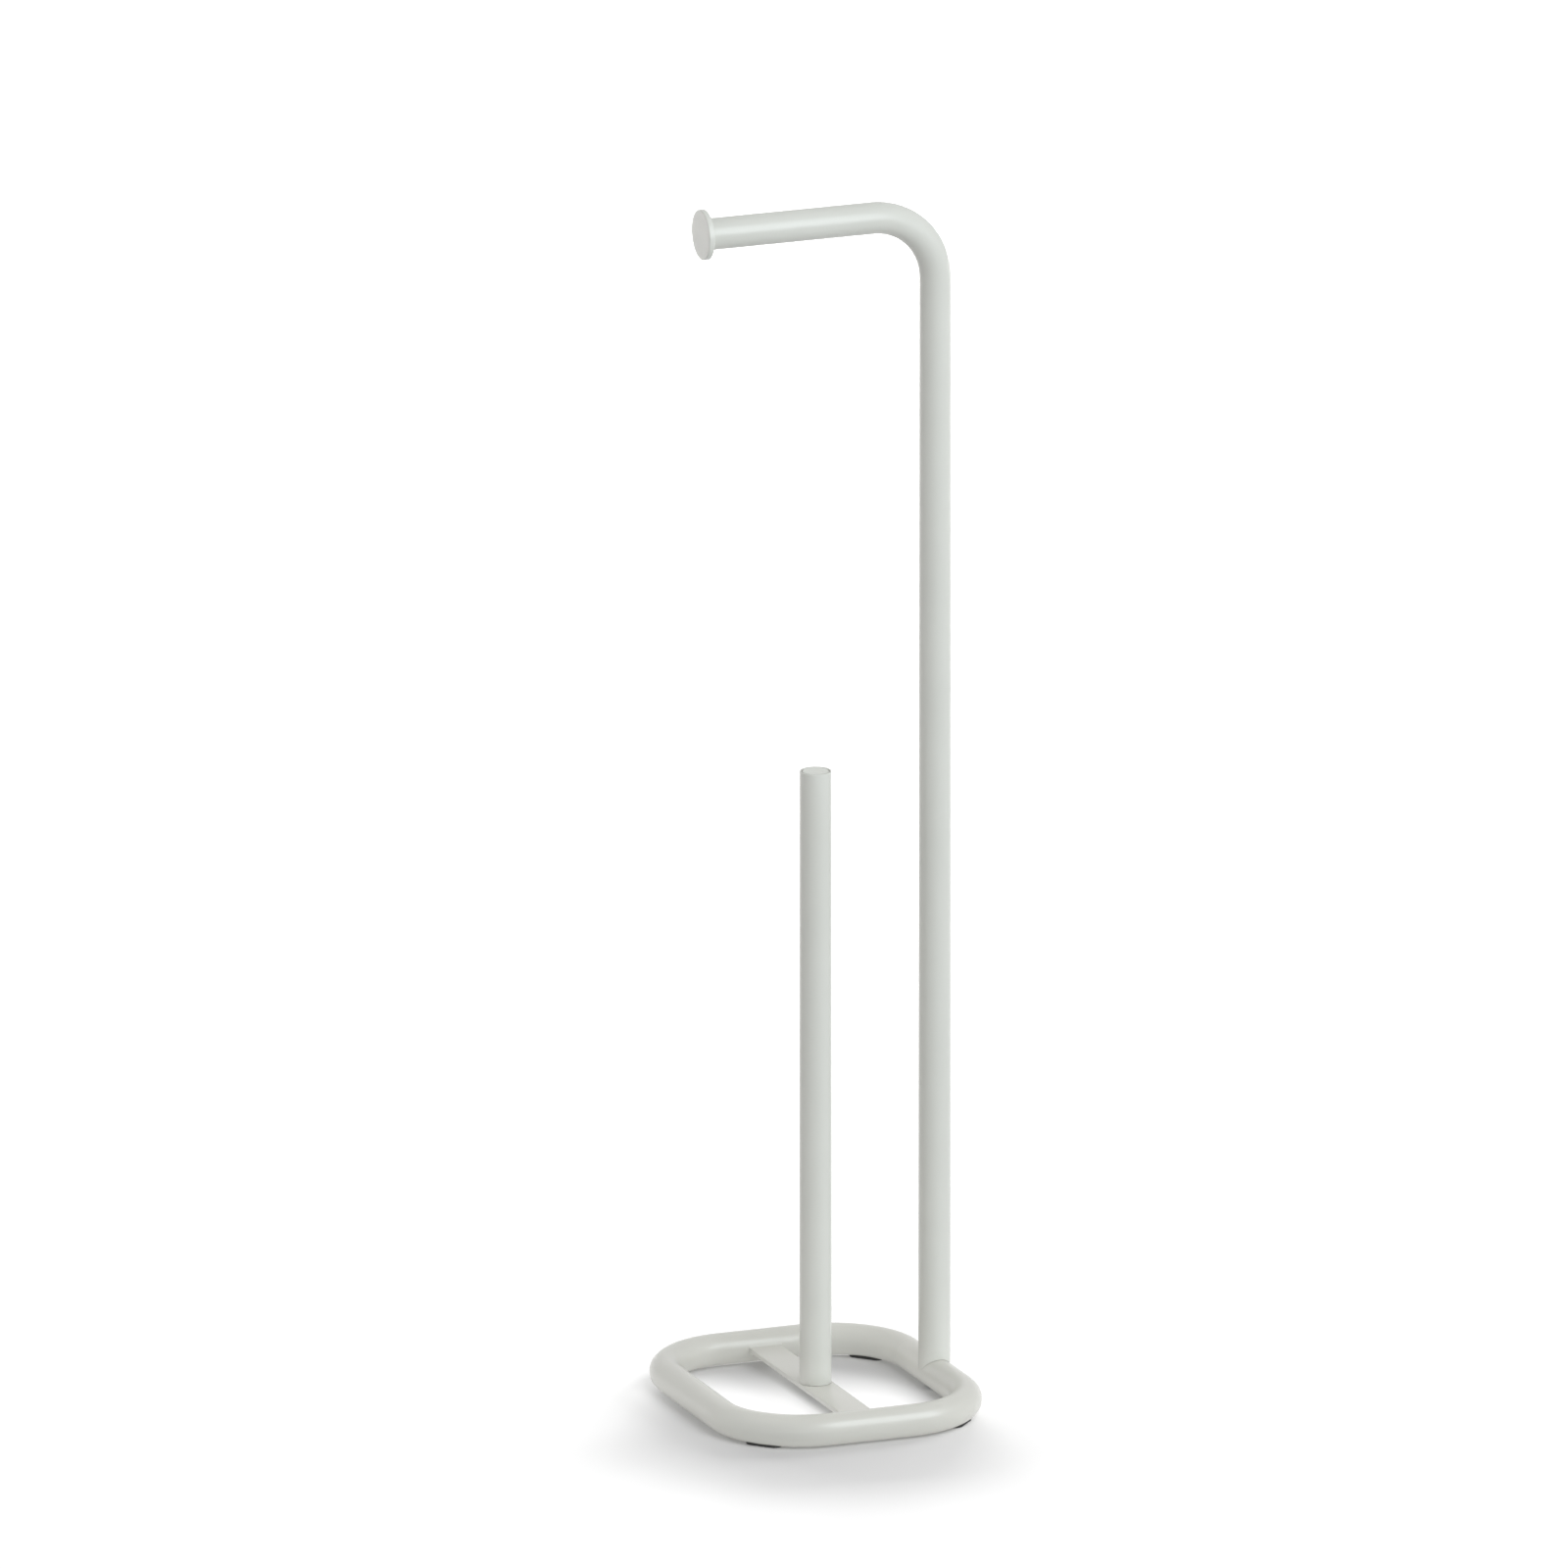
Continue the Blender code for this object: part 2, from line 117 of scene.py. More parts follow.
# %% [markdown]
# ## Three ways to make a mesh
#
# Almost everything on this stand is a round section that follows a line, or a shape turned on a lathe. A
# bevelled curve could do the tubes, but it can't round their cut ends or shape their feet. So each piece is
# a skin over a row of stations, where a station is a closed ring of points. Turned pieces are the same
# thing with round stations. Where a hole goes through, a cutter is subtracted from the finished skin.

# %% Helpers for meshes
MERGE_DISTANCE = 1e-7
SHARP_ANGLE = math.radians(38)


def skin(name, stations, loop=False):
    """Mesh over stations of as many points each. A loop joins the last station to the first."""
    shape = bmesh.new()
    rows = [[shape.verts.new(point) for point in station] for station in stations]
    following = rows[1:] + rows[:1] if loop else rows[1:]
    for near, far in zip(rows, following):
        for i in range(len(near)):
            shape.faces.new((near[i - 1], near[i], far[i], far[i - 1]))
    if not loop:
        shape.faces.new(rows[0])
        shape.faces.new(rows[-1])
    bmesh.ops.remove_doubles(shape, verts=shape.verts, dist=MERGE_DISTANCE)
    bmesh.ops.recalc_face_normals(shape, faces=shape.faces)
    mesh = bpy.data.meshes.new(name)
    shape.to_mesh(mesh)
    shape.free()
    return mesh


def turned(name, profile, sides, loop=False):
    """Lathe work: a skin whose stations are circles of (radius, height)."""
    angles = [math.tau * side / sides for side in range(sides)]
    return skin(name, [[(r * math.cos(a), r * math.sin(a), z) for a in angles] for r, z in profile], loop)


def carved(mesh, *cutters):
    """The mesh with the cutters' meshes subtracted."""
    blank = bpy.data.objects.new("blank", mesh)
    tools = [bpy.data.objects.new("cutter", cutter) for cutter in cutters]
    for thing in (blank, *tools):
        bpy.context.scene.collection.objects.link(thing)
    for tool in tools:
        boolean = blank.modifiers.new("cut", "BOOLEAN")
        boolean.operation = "DIFFERENCE"
        boolean.solver = "EXACT"
        boolean.object = tool
    result = bpy.data.meshes.new_from_object(blank.evaluated_get(bpy.context.evaluated_depsgraph_get()))
    for thing in (blank, *tools):
        bpy.data.objects.remove(thing)
    return result


def arc(centre, radius, start, end, steps):
    """Points on an arc in a plane of two coordinates, both ends included."""
    angles = [start + (end - start) * step / steps for step in range(steps + 1)]
    return [(centre[0] + radius * math.cos(a), centre[1] + radius * math.sin(a)) for a in angles]


def add_piece(name, mesh, finish, node, place=(0, 0, 0), turn=(0, 0, 0)):
    """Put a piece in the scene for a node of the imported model, smooth but for its hard edges."""
    mesh.name = name
    mesh.materials.clear()
    mesh.materials.append(finish)
    mesh.shade_smooth()
    mesh.set_sharp_from_angle(angle=SHARP_ANGLE)
    piece = bpy.data.objects.new(name, mesh)
    bpy.context.scene.collection.objects.link(piece)
    piece.location = place
    piece.rotation_euler = turn
    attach(piece, "root")
    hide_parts(node)
    print(f"{name}: {len(mesh.vertices)} points, {len(mesh.polygons)} faces")


print("edges stay sharp from", round(math.degrees(SHARP_ANGLE)), "degrees")

# %% [markdown]
# ## Ways to mix a finish
#
# A finish is a small network of nodes: noises of the real size of a cloud or a grain, each stretched to a
# range and sent to the shader's colour, roughness or bump. A painted image would need the pieces unwrapped.
# Noise in object space needs no unwrapping, so it has no seam and no stretching.

# %% Helpers for finishes
NOISE_MIDDLE = (0.3, 0.7)


def new_finish(name):
    """Material with its node tree, its shader and a texture coordinate in object space."""
    finish = bpy.data.materials.new(name)
    finish.use_nodes = True
    tree = finish.node_tree
    coordinates = tree.nodes.new("ShaderNodeTexCoord")
    return finish, tree, tree.nodes["Principled BSDF"], coordinates.outputs["Object"]


def noise(tree, coordinates, scale, detail=2.0):
    """Noise texture of some waves per metre, as a value around a half."""
    texture = tree.nodes.new("ShaderNodeTexNoise")
    texture.inputs["Scale"].default_value = scale
    texture.inputs["Detail"].default_value = detail
    tree.links.new(coordinates, texture.inputs["Vector"])
    return texture.outputs["Fac"]


def spread(tree, value, low, high):
    """Stretch the middle of a noise over a range of values."""
    ranged = tree.nodes.new("ShaderNodeMapRange")
    ranged.inputs["From Min"].default_value, ranged.inputs["From Max"].default_value = NOISE_MIDDLE
    ranged.inputs["To Min"].default_value = low
    ranged.inputs["To Max"].default_value = high
    tree.links.new(value, ranged.inputs["Value"])
    return ranged.outputs["Result"]


def blend(tree, factor, first, second):
    """Colour between two others. Each may be a colour or the output of another node."""
    mix = tree.nodes.new("ShaderNodeMix")
    mix.data_type = "RGBA"
    tree.links.new(factor, mix.inputs["Factor"])
    for socket, colour in ((mix.inputs[6], first), (mix.inputs[7], second)):
        if isinstance(colour, bpy.types.NodeSocket):
            tree.links.new(colour, socket)
        else:
            socket.default_value = (*colour, 1)
    return mix.outputs[2]


def rough_surface(tree, shader, height, distance):
    """Bump of a real height in metres."""
    bump = tree.nodes.new("ShaderNodeBump")
    bump.inputs["Distance"].default_value = distance
    tree.links.new(height, bump.inputs["Height"])
    tree.links.new(bump.outputs["Normal"], shader.inputs["Normal"])


print("finishes use the middle of a noise, from", NOISE_MIDDLE[0], "to", NOISE_MIDDLE[1])

# %% [markdown]
# ## Powder coat
#
# The tubes are sprayed with a light warm grey powder and baked, which gives a hard, slightly glossy skin
# that is even from afar. Close to, it has faint clouds where it lies thicker, and the fine waviness that
# painters call orange peel. One flat colour would look like plastic, so clouds, specks and waves are mixed
# from noises. The waves are only some micrometres high, so a lamp's reflection keeps a soft, clean edge.

# %% Mix the powder coat
COAT_COLOUR = (0.598, 0.597, 0.554)
COAT_THICK_COLOUR = (0.620, 0.618, 0.574)
SPECK_COLOUR = (0.585, 0.580, 0.532)
SPECK_SHARE = 0.22
COAT_ROUGHNESS = (0.24, 0.27)
COAT_CLOUDS_PER_METRE = 22
COAT_GLOSS_SPOTS_PER_METRE = 66
COAT_SPECKS_PER_METRE = 1800
COAT_SPECK_DETAIL = 1.0
COAT_WAVES_PER_METRE = 620
COAT_WAVE_DETAIL = 1.5
COAT_WAVE_HEIGHT = 0.000012

powder_coat, tree, shader, place = new_finish("light_grey_powder")
clouds = spread(tree, noise(tree, place, COAT_CLOUDS_PER_METRE), 0, 1)
specks = spread(tree, noise(tree, place, COAT_SPECKS_PER_METRE, COAT_SPECK_DETAIL), 0, 1)
clouded = blend(tree, clouds, COAT_COLOUR, COAT_THICK_COLOUR)
speck_strength = spread(tree, specks, 0, SPECK_SHARE)
tree.links.new(blend(tree, speck_strength, clouded, SPECK_COLOUR), shader.inputs["Base Color"])
gloss_spots = noise(tree, place, COAT_GLOSS_SPOTS_PER_METRE)
tree.links.new(spread(tree, gloss_spots, *COAT_ROUGHNESS), shader.inputs["Roughness"])
waves = noise(tree, place, COAT_WAVES_PER_METRE, COAT_WAVE_DETAIL)
rough_surface(tree, shader, waves, COAT_WAVE_HEIGHT)
print("powder coat:", len(tree.nodes), "nodes")

# %% [markdown]
# ## Ring
#
# The base is one tube, bent at four corners and closed by a butt weld that was ground flush before painting.
# Under the paint it still shows as a fine line, on the right side where the rear corner begins. A curve with
# a bevel would make the ring, but not that line, so the ring is a skin: the stations follow a rounded
# rectangle and lie close together at the weld, where the tube is a trace thinner. The bore and the two
# holes for the upright's screw are cut out afterwards.

# %% Measure the ring
RING_CORNER_RADIUS = 0.049
TUBE_WALL = 0.0012
CORNER_SIGNS = ((1, 1), (-1, 1), (-1, -1), (1, -1))

RING_HALF_WIDTH = ring_high.x - TUBE_RADIUS
RING_HALF_DEPTH = ring_high.y - TUBE_RADIUS
BORE_RADIUS = TUBE_RADIUS - TUBE_WALL
corner_x = RING_HALF_WIDTH - RING_CORNER_RADIUS
corner_y = RING_HALF_DEPTH - RING_CORNER_RADIUS
corners = [((x * corner_x, y * corner_y), turn) for turn, (x, y) in enumerate(CORNER_SIGNS)]
print("ring's corners turn about", round(corner_x * 1000, 1), "and", round(corner_y * 1000, 1), "mm")

# %% Walk round the ring
TUBE_SIDES = 80
RING_BORE_SIDES = 48
CORNER_STEPS = 26
WELD_Y = 0.0400
WELD_DEPTH = 0.00012
WELD_HALF_WIDTH = 0.0006
WELD_STEPS = 3
WELD_STATIONS_EACH_SIDE = 7


def ring_stations():
    """Places along the ring with their outward direction, anticlockwise from the middle of the right side."""
    steps = range(-WELD_STATIONS_EACH_SIDE, WELD_STATIONS_EACH_SIDE + 1)
    near_weld = [WELD_Y + WELD_HALF_WIDTH * step / WELD_STEPS for step in steps]
    right_side = [0, corner_y / 3, *near_weld]
    stations = [(Vector((RING_HALF_WIDTH, y, 0)), Vector((1, 0, 0))) for y in right_side if y < corner_y]
    for (x, y), turn in corners:
        for angle in [(turn + step / CORNER_STEPS) * math.pi / 2 for step in range(CORNER_STEPS + 1)]:
            outward = Vector((math.cos(angle), math.sin(angle), 0))
            stations.append((Vector((x, y, 0)) + RING_CORNER_RADIUS * outward, outward))
    return stations


def ring_radius(at, radius):
    """The tube is a trace thinner where its butt weld was ground."""
    if at.x < corner_x:
        return radius
    return radius - WELD_DEPTH * math.exp(-(((at.y - WELD_Y) / WELD_HALF_WIDTH) ** 2))


def round_section(at, across, radius, sides, up=Vector((0, 0, 1))):
    """Circle of points about a place, in the plane of two directions."""
    angles = [math.tau * side / sides for side in range(sides)]
    return [at + radius * (math.cos(a) * across + math.sin(a) * up) for a in angles]


def ring_skin(name, radius, sides, weld=True):
    """Skin of the ring's tube, or of its bore."""
    stations = []
    for at, outward in ring_stations():
        here = ring_radius(at, radius) if weld else radius
        stations.append(round_section(at + ring_middle, outward, here, sides))
    return skin(name, stations, loop=True)


ring_blank = ring_skin("ring", TUBE_RADIUS, TUBE_SIDES)
ring_bore = ring_skin("bore", BORE_RADIUS, RING_BORE_SIDES, weld=False)
print("stations round the ring:", len(ring_stations()))

# %% Bore and drill the ring
SCREW_HOLE_RADIUS = 0.0033
ACCESS_HOLE_RADIUS = 0.0065
HOLE_SIDES = 64

hole_reach = TUBE_RADIUS + TUBE_WALL
screw_hole = turned("hole", [(SCREW_HOLE_RADIUS, 0), (SCREW_HOLE_RADIUS, hole_reach)], HOLE_SIDES)
access_hole = turned("hole", [(ACCESS_HOLE_RADIUS, -hole_reach), (ACCESS_HOLE_RADIUS, 0)], HOLE_SIDES)
for hole in (screw_hole, access_hole):
    for vertex in hole.vertices:
        vertex.co += ring_middle + Vector((RING_HALF_WIDTH, 0, 0))
ring_mesh = carved(ring_blank, ring_bore, screw_hole, access_hole)
add_piece("ring_tube", ring_mesh, powder_coat, "base_ring")

# %% [markdown]
# ## Crossbar
#
# The bar is a strip of flat steel, 20 by 3 mm, cut to fit between the ring's front and rear sides and welded
# in from below. On top the paint has filled the joint, so the bar runs into the tube in a small hollow
# curve. A box with a bevel has no such ends. Here the strip's rounded section is repeated along the bar, and
# close to the ring it swells outwards along that hollow curve. Each point keeps its own distance to the
# tube's wall, so the ends meet the round tube exactly.

# %% Shape the bar's section
BAR_EDGE_RADIUS = 0.0006
BAR_EDGE_STEPS = 4
FILLET_RADIUS = 0.0011

bar_low, bar_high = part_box("crossbar")


def bar_outline():
    """Rounded section of the strip in X and Z, each point with its outward direction."""
    points = []
    for turn, (side, up) in enumerate(CORNER_SIGNS):
        centre_x = side * (bar_high.x - BAR_EDGE_RADIUS)
        centre_z = (bar_high.z if up > 0 else bar_low.z) - up * BAR_EDGE_RADIUS
        for angle in [(turn + step / BAR_EDGE_STEPS) * math.pi / 2 for step in range(BAR_EDGE_STEPS + 1)]:
            outward = Vector((math.cos(angle), 0, math.sin(angle)))
            points.append((Vector((centre_x, 0, centre_z)) + BAR_EDGE_RADIUS * outward, outward))
    return points


def wall_y(height):
    """How far the inner wall of the ring's front or rear side lies from the middle, at a height."""
    return RING_HALF_DEPTH - math.sqrt(TUBE_RADIUS ** 2 - (height - RING_AXIS_HEIGHT) ** 2)


def bar_station(from_wall, side):
    """Section of the bar at a distance from the ring's wall, swollen by the paint fillet."""
    reach = max(0, FILLET_RADIUS - from_wall)
    swell = FILLET_RADIUS - math.sqrt(max(0, FILLET_RADIUS ** 2 - min(reach, FILLET_RADIUS) ** 2))
    station = []
    for point, outward in bar_outline():
        swollen = point + swell * outward
        station.append((swollen.x, side * (wall_y(swollen.z) - from_wall), swollen.z))
    return station


print("bar is", round((bar_high.z - bar_low.z) * 1000, 1), "mm thick")

# %% Build the crossbar
FILLET_STEPS = 6
BAR_STATIONS = 12
BAR_SINK = 0.0004

fillet_angles = [math.pi / 2 * step / FILLET_STEPS for step in range(FILLET_STEPS + 1)]
fillet = [FILLET_RADIUS * (1 - math.cos(angle)) for angle in fillet_angles]
straight = wall_y(bar_high.z) - FILLET_RADIUS
inward = [FILLET_RADIUS + straight * step / BAR_STATIONS for step in range(1, BAR_STATIONS)]
distances = [-BAR_SINK, *fillet, *inward]
front = [bar_station(distance, -1) for distance in distances]
rear = [bar_station(distance, 1) for distance in reversed(distances)]
bar_hole = turned("hole", [(SCREW_HOLE_RADIUS, 0), (SCREW_HOLE_RADIUS, 2 * bar_high.z)], HOLE_SIDES)
add_piece("cross_bar", carved(skin("bar", front + rear), bar_hole), powder_coat, "crossbar")

# %% [markdown]
# ## Weld beads
#
# Seen from below, the bar's ends sit in two short weld beads. A welder lays them as overlapping puddles, so a
# bead is a row of small scales with rounded ends. Each bead here is a skin of fan-shaped stations across the
# corner between bar and tube, whose radius rises and falls with the puddles.

# %% Lay the weld beads
BEAD_RADIUS = 0.0025
BEAD_STEPS = 44
BEAD_ARC_STEPS = 10
PUDDLE_LENGTH = 0.0021
PUDDLE_RISE = 0.09
BEAD_END_POWER = 6


def bead_station(x, side):
    """Fan across the corner under the bar, from the bar's underside to the ring's wall."""
    end_share = abs(x) / bar_high.x
    puddle = (x / PUDDLE_LENGTH) % 1
    rounded_end = math.sqrt(max(0, 1 - end_share ** BEAD_END_POWER))
    radius = BEAD_RADIUS * rounded_end * (1 - PUDDLE_RISE * puddle)
    root_y, root_z = wall_y(bar_low.z) + BAR_SINK, bar_low.z + BAR_SINK
    rim = []
    for step in range(BEAD_ARC_STEPS + 1):
        angle = -math.pi / 2 * step / BEAD_ARC_STEPS
        y = wall_y(bar_low.z) - radius * math.cos(angle)
        z = bar_low.z + radius * math.sin(angle)
        rim.append((x, side * min(y, wall_y(z) + BAR_SINK), z))
    lowest = rim[-1][2]
    end = (x, side * (wall_y(lowest) + BAR_SINK), lowest)
    return [(x, side * root_y, root_z), (x, rim[0][1], root_z), *rim[:-1], end]


bead_angles = [math.pi / 2 * (2 * step / BEAD_STEPS - 1) for step in range(BEAD_STEPS + 1)]
bead_places = [bar_high.x * math.sin(angle) for angle in bead_angles]
for name, side in (("front", -1), ("rear", 1)):
    bead = skin("bead", [bead_station(x, side) for x in bead_places])
    add_piece(name + "_weld_bead", bead, powder_coat, "crossbar_weld_" + name)

# %% [markdown]
# ## Upright and arm
#
# One tube rises from the ring's right side and bends over into the arm. Its foot is coped, which means cut
# to the curve of the tube it stands on, and a hairline of shadow shows there, because the paint rounds both
# edges. The skin runs up the outside, round the arm's open end, back down the bore and round the foot. The
# foot's height is worked out for each point from the ring's own circle, so the gap is even all round.

# %% Measure the upright
JOINT_GAP = 0.00009
PAINT_EDGE = 0.0003
ARM_BEND_RADIUS = 0.040
FOOT_STEPS = 4
RISE_STEPS = 24
BEND_STEPS = 40

arm_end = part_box("upright_tube")[0].x
disc_low, disc_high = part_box("arm_end_disc")
ARM_HEIGHT = (disc_low.z + disc_high.z) / 2
bend_middle = Vector((RING_HALF_WIDTH - ARM_BEND_RADIUS, 0, ARM_HEIGHT - ARM_BEND_RADIUS))
sideways = Vector((0, 1, 0))
rightwards = Vector((1, 0, 0))


def tube_section(at, across, radius):
    """Circle of points about the upright's axis, or its bore's."""
    return round_section(at, across, radius, TUBE_SIDES, sideways)


def foot_height(x):
    """Height of the cope at a distance from the upright's axis, across the ring's tube."""
    return RING_AXIS_HEIGHT + math.sqrt((TUBE_RADIUS + JOINT_GAP) ** 2 - x ** 2)


def foot_station(radius, lift):
    """Ring of points that follows the cope, some way above it."""
    station = []
    for point in tube_section(Vector((0, 0, 0)), rightwards, radius):
        station.append((RING_HALF_WIDTH + point.x, point.y, foot_height(point.x) + lift))
    return station


def tube_rise(radius):
    """Stations from above the cope, round the bend and along the arm to just before its end."""
    low, high = foot_height(0) + 2 * TUBE_RADIUS, bend_middle.z
    stations = []
    foot = foot_station(radius, PAINT_EDGE)
    for share in [step / FOOT_STEPS for step in range(1, FOOT_STEPS)]:
        stations.append([(x, y, z * (1 - share) + low * share) for x, y, z in foot])
    for height in [low + (high - low) * step / RISE_STEPS for step in range(RISE_STEPS)]:
        stations.append(tube_section(Vector((RING_HALF_WIDTH, 0, height)), rightwards, radius))
    for angle in [math.pi / 2 * step / BEND_STEPS for step in range(BEND_STEPS + 1)]:
        outward = Vector((math.cos(angle), 0, math.sin(angle)))
        stations.append(tube_section(bend_middle + ARM_BEND_RADIUS * outward, outward, radius))
    return stations


print("arm's axis is at", round(ARM_HEIGHT * 1000, 1), "mm")

# %% Build the upright
JOINT_EDGE = 0.00018
PAINT_EDGE_STEPS = 3


def edge(turns):
    """Quarter of a paint-rounded edge, as shares of its radius along and across the wall."""
    angles = [math.pi / 2 * step / PAINT_EDGE_STEPS for step in range(PAINT_EDGE_STEPS + 1)]
    return [(1 - math.cos(a), 1 - math.sin(a)) for a in (angles if turns else reversed(angles))]


def arm_station(radius, before_end):
    """Ring of points on the arm, at a distance before its open end."""
    return tube_section(Vector((arm_end + before_end, 0, ARM_HEIGHT)), Vector((0, 0, 1)), radius)


def ends(station, radius, rounding, inwards, turns):
    """Stations of one rounded edge, whose radius shrinks outside the tube and grows inside its bore."""
    return [station(radius + inwards * rounding * inset, rounding * lift) for inset, lift in edge(turns)]


upright_skin = [
    *ends(foot_station, TUBE_RADIUS, JOINT_EDGE, -1, False),
    *tube_rise(TUBE_RADIUS),
    *ends(arm_station, TUBE_RADIUS, PAINT_EDGE, -1, True),
    *ends(arm_station, BORE_RADIUS, PAINT_EDGE, 1, False),
    *reversed(tube_rise(BORE_RADIUS)),
    *ends(foot_station, BORE_RADIUS, JOINT_EDGE, 1, True),
]
upright = skin("upright", upright_skin, loop=True)
add_piece("upright_and_arm", upright, powder_coat, "upright_tube")

# %% [markdown]
# ## End disc
#
# A small plate closes the arm and stops the roll. It is turned steel with rounded edges and a spigot that
# sits in the tube. A turned profile gives all of it at once: the flat face, the round rim and the spigot.

# %% Turn the end disc
DISC_SIDES = 96
DISC_THICKNESS = 0.0035
DISC_EDGE_RADIUS = 0.0006
DISC_EDGE_STEPS = 8
SPIGOT_RADIUS = 0.0080
SPIGOT_LEAD_IN = 0.001
FACE_RINGS = 4

disc_radius = (disc_high.z - disc_low.z) / 2
spigot_length = disc_high.x - disc_low.x - DISC_THICKNESS
rim = disc_radius - DISC_EDGE_RADIUS
profile = [(rim * ring / FACE_RINGS, DISC_THICKNESS) for ring in range(FACE_RINGS)]
profile += arc((rim, DISC_THICKNESS - DISC_EDGE_RADIUS), DISC_EDGE_RADIUS, math.pi / 2, 0, DISC_EDGE_STEPS)
profile += arc((rim, DISC_EDGE_RADIUS), DISC_EDGE_RADIUS, 0, -math.pi / 2, DISC_EDGE_STEPS)
profile += [(SPIGOT_RADIUS, 0), (SPIGOT_RADIUS, SPIGOT_LEAD_IN - spigot_length)]
profile += [(SPIGOT_RADIUS - SPIGOT_LEAD_IN, -spigot_length), (0, -spigot_length)]
add_piece(
    "arm_disc", turned("disc", profile, DISC_SIDES), powder_coat, "arm_end_disc",
    place=(disc_low.x + DISC_THICKNESS, 0, ARM_HEIGHT), turn=(0, -math.pi / 2, 0),
)

# %% [markdown]
# ## Post
#
# The post is a straight tube that stands on the crossbar. The paint rounds its lower end, which leaves a
# hairline of shadow on the bar. The upper end was deburred inside, so the seam round the plug opens wider
# there. The post is turned, with the bore in the same closed profile.

# %% Turn the post
MOUTH_EDGE = 0.0006
POST_STEPS = 16

post_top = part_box("post_tube")[1].z


def cut_end(height, upwards, outside, inside):
    """Both rounded edges of a tube's end, each with its own radius, from the outside to the bore."""
    outer = [(TUBE_RADIUS - outside * inset, height - upwards * outside * lift) for inset, lift in edge(True)]
    inner = [(BORE_RADIUS + inside * inset, height - upwards * inside * lift) for inset, lift in edge(False)]
    return outer + inner


foot_level = bar_high.z + JOINT_GAP
heights = [foot_level + (post_top - foot_level) * step / POST_STEPS for step in range(1, POST_STEPS)]
profile = [
    *[(TUBE_RADIUS, height) for height in heights],
    *cut_end(post_top, 1, PAINT_EDGE, MOUTH_EDGE),
    *[(BORE_RADIUS, height) for height in reversed(heights)],
    *reversed(cut_end(foot_level, -1, JOINT_EDGE, JOINT_EDGE)),
]
post = turned("post", profile, TUBE_SIDES, loop=True)
add_piece("spare_roll_post", post, powder_coat, "post_tube")

# %% [markdown]
# ## Plug
#
# A plastic plug closes the post, flush with its end, so only a fine dark seam shows. Moulded plastic has a
# finer grain than the paint and is a little paler and duller. A plain disc would lie in the tube like a
# lid, so the plug is turned as the cup that it is: a faintly domed top, a small step that opens the seam,
# and a thin skirt in the bore.

# %% Mix the plug's plastic
PLUG_COLOUR = (0.680, 0.685, 0.635)
PLUG_DARK_COLOUR = (0.655, 0.660, 0.611)
PLUG_ROUGHNESS = (0.36, 0.46)
PLUG_GRAIN_PER_METRE = 3200
PLUG_GRAIN_HEIGHT = 0.000006

plug_plastic, tree, shader, place = new_finish("moulded_plug_plastic")
grain = noise(tree, place, PLUG_GRAIN_PER_METRE)
mottled = blend(tree, spread(tree, grain, 0, 1), PLUG_COLOUR, PLUG_DARK_COLOUR)
tree.links.new(mottled, shader.inputs["Base Color"])
gloss_spots = noise(tree, place, COAT_SPECKS_PER_METRE)
tree.links.new(spread(tree, gloss_spots, *PLUG_ROUGHNESS), shader.inputs["Roughness"])
rough_surface(tree, shader, grain, PLUG_GRAIN_HEIGHT)
print("plug plastic:", len(tree.nodes), "nodes")

# %% Turn the plug
PLUG_SKIN = 0.0016
PLUG_DOME = 0.00015
PLUG_RINGS = 6
PLUG_EDGE = 0.00015
PLUG_EDGE_STEPS = 4
SEAM_WIDTH = 0.0003
SEAM_DEPTH = 0.0008

plug_low, plug_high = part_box("post_top_plug")
plug_radius = plug_high.x
crown = plug_radius - SEAM_WIDTH
flat = crown - PLUG_EDGE
top = [(flat * ring / PLUG_RINGS, PLUG_DOME * (ring / PLUG_RINGS) ** 2) for ring in range(PLUG_RINGS + 1)]
edge_arc = arc((flat, plug_high.z - PLUG_EDGE), PLUG_EDGE, math.pi / 2, 0, PLUG_EDGE_STEPS)
profile = [
    *[(radius, plug_high.z - drop) for radius, drop in top],
    *[(radius, height - PLUG_DOME) for radius, height in edge_arc[1:]],
    (crown, plug_high.z - SEAM_DEPTH),
    (plug_radius, plug_high.z - SEAM_DEPTH),
    (plug_radius, plug_low.z),
    (plug_radius - PLUG_SKIN, plug_low.z),
    (plug_radius - PLUG_SKIN, plug_high.z - PLUG_SKIN),
    (0, plug_high.z - PLUG_SKIN),
]
add_piece("post_plug", turned("plug", profile, TUBE_SIDES), plug_plastic, "post_top_plug")

# %% [markdown]
# ## Rubber pads
#
# The ring doesn't touch the floor: a short strip of black rubber under each corner carries it and keeps it
# from sliding. Rubber is dull and very dark, with a fine grain and a little dust on it. Each pad is a skin
# over one outline that is bent to the corner: flat with rounded edges below, and hollow on top, where the
# tube sits in it.

# %% Mix the rubber
RUBBER_COLOUR = (0.014, 0.014, 0.014)
RUBBER_DUSTY_COLOUR = (0.034, 0.033, 0.031)
RUBBER_ROUGHNESS = (0.62, 0.82)
RUBBER_GRAIN_PER_METRE = 2600
RUBBER_GRAIN_HEIGHT = 0.00002
DUST_CLOUDS_PER_METRE = 180

black_rubber, tree, shader, place = new_finish("dusty_black_rubber")
grain = noise(tree, place, RUBBER_GRAIN_PER_METRE)
dust = spread(tree, noise(tree, place, DUST_CLOUDS_PER_METRE), 0, 1)
tree.links.new(blend(tree, dust, RUBBER_COLOUR, RUBBER_DUSTY_COLOUR), shader.inputs["Base Color"])
tree.links.new(spread(tree, grain, *RUBBER_ROUGHNESS), shader.inputs["Roughness"])
rough_surface(tree, shader, grain, RUBBER_GRAIN_HEIGHT)
print("rubber:", len(tree.nodes), "nodes")

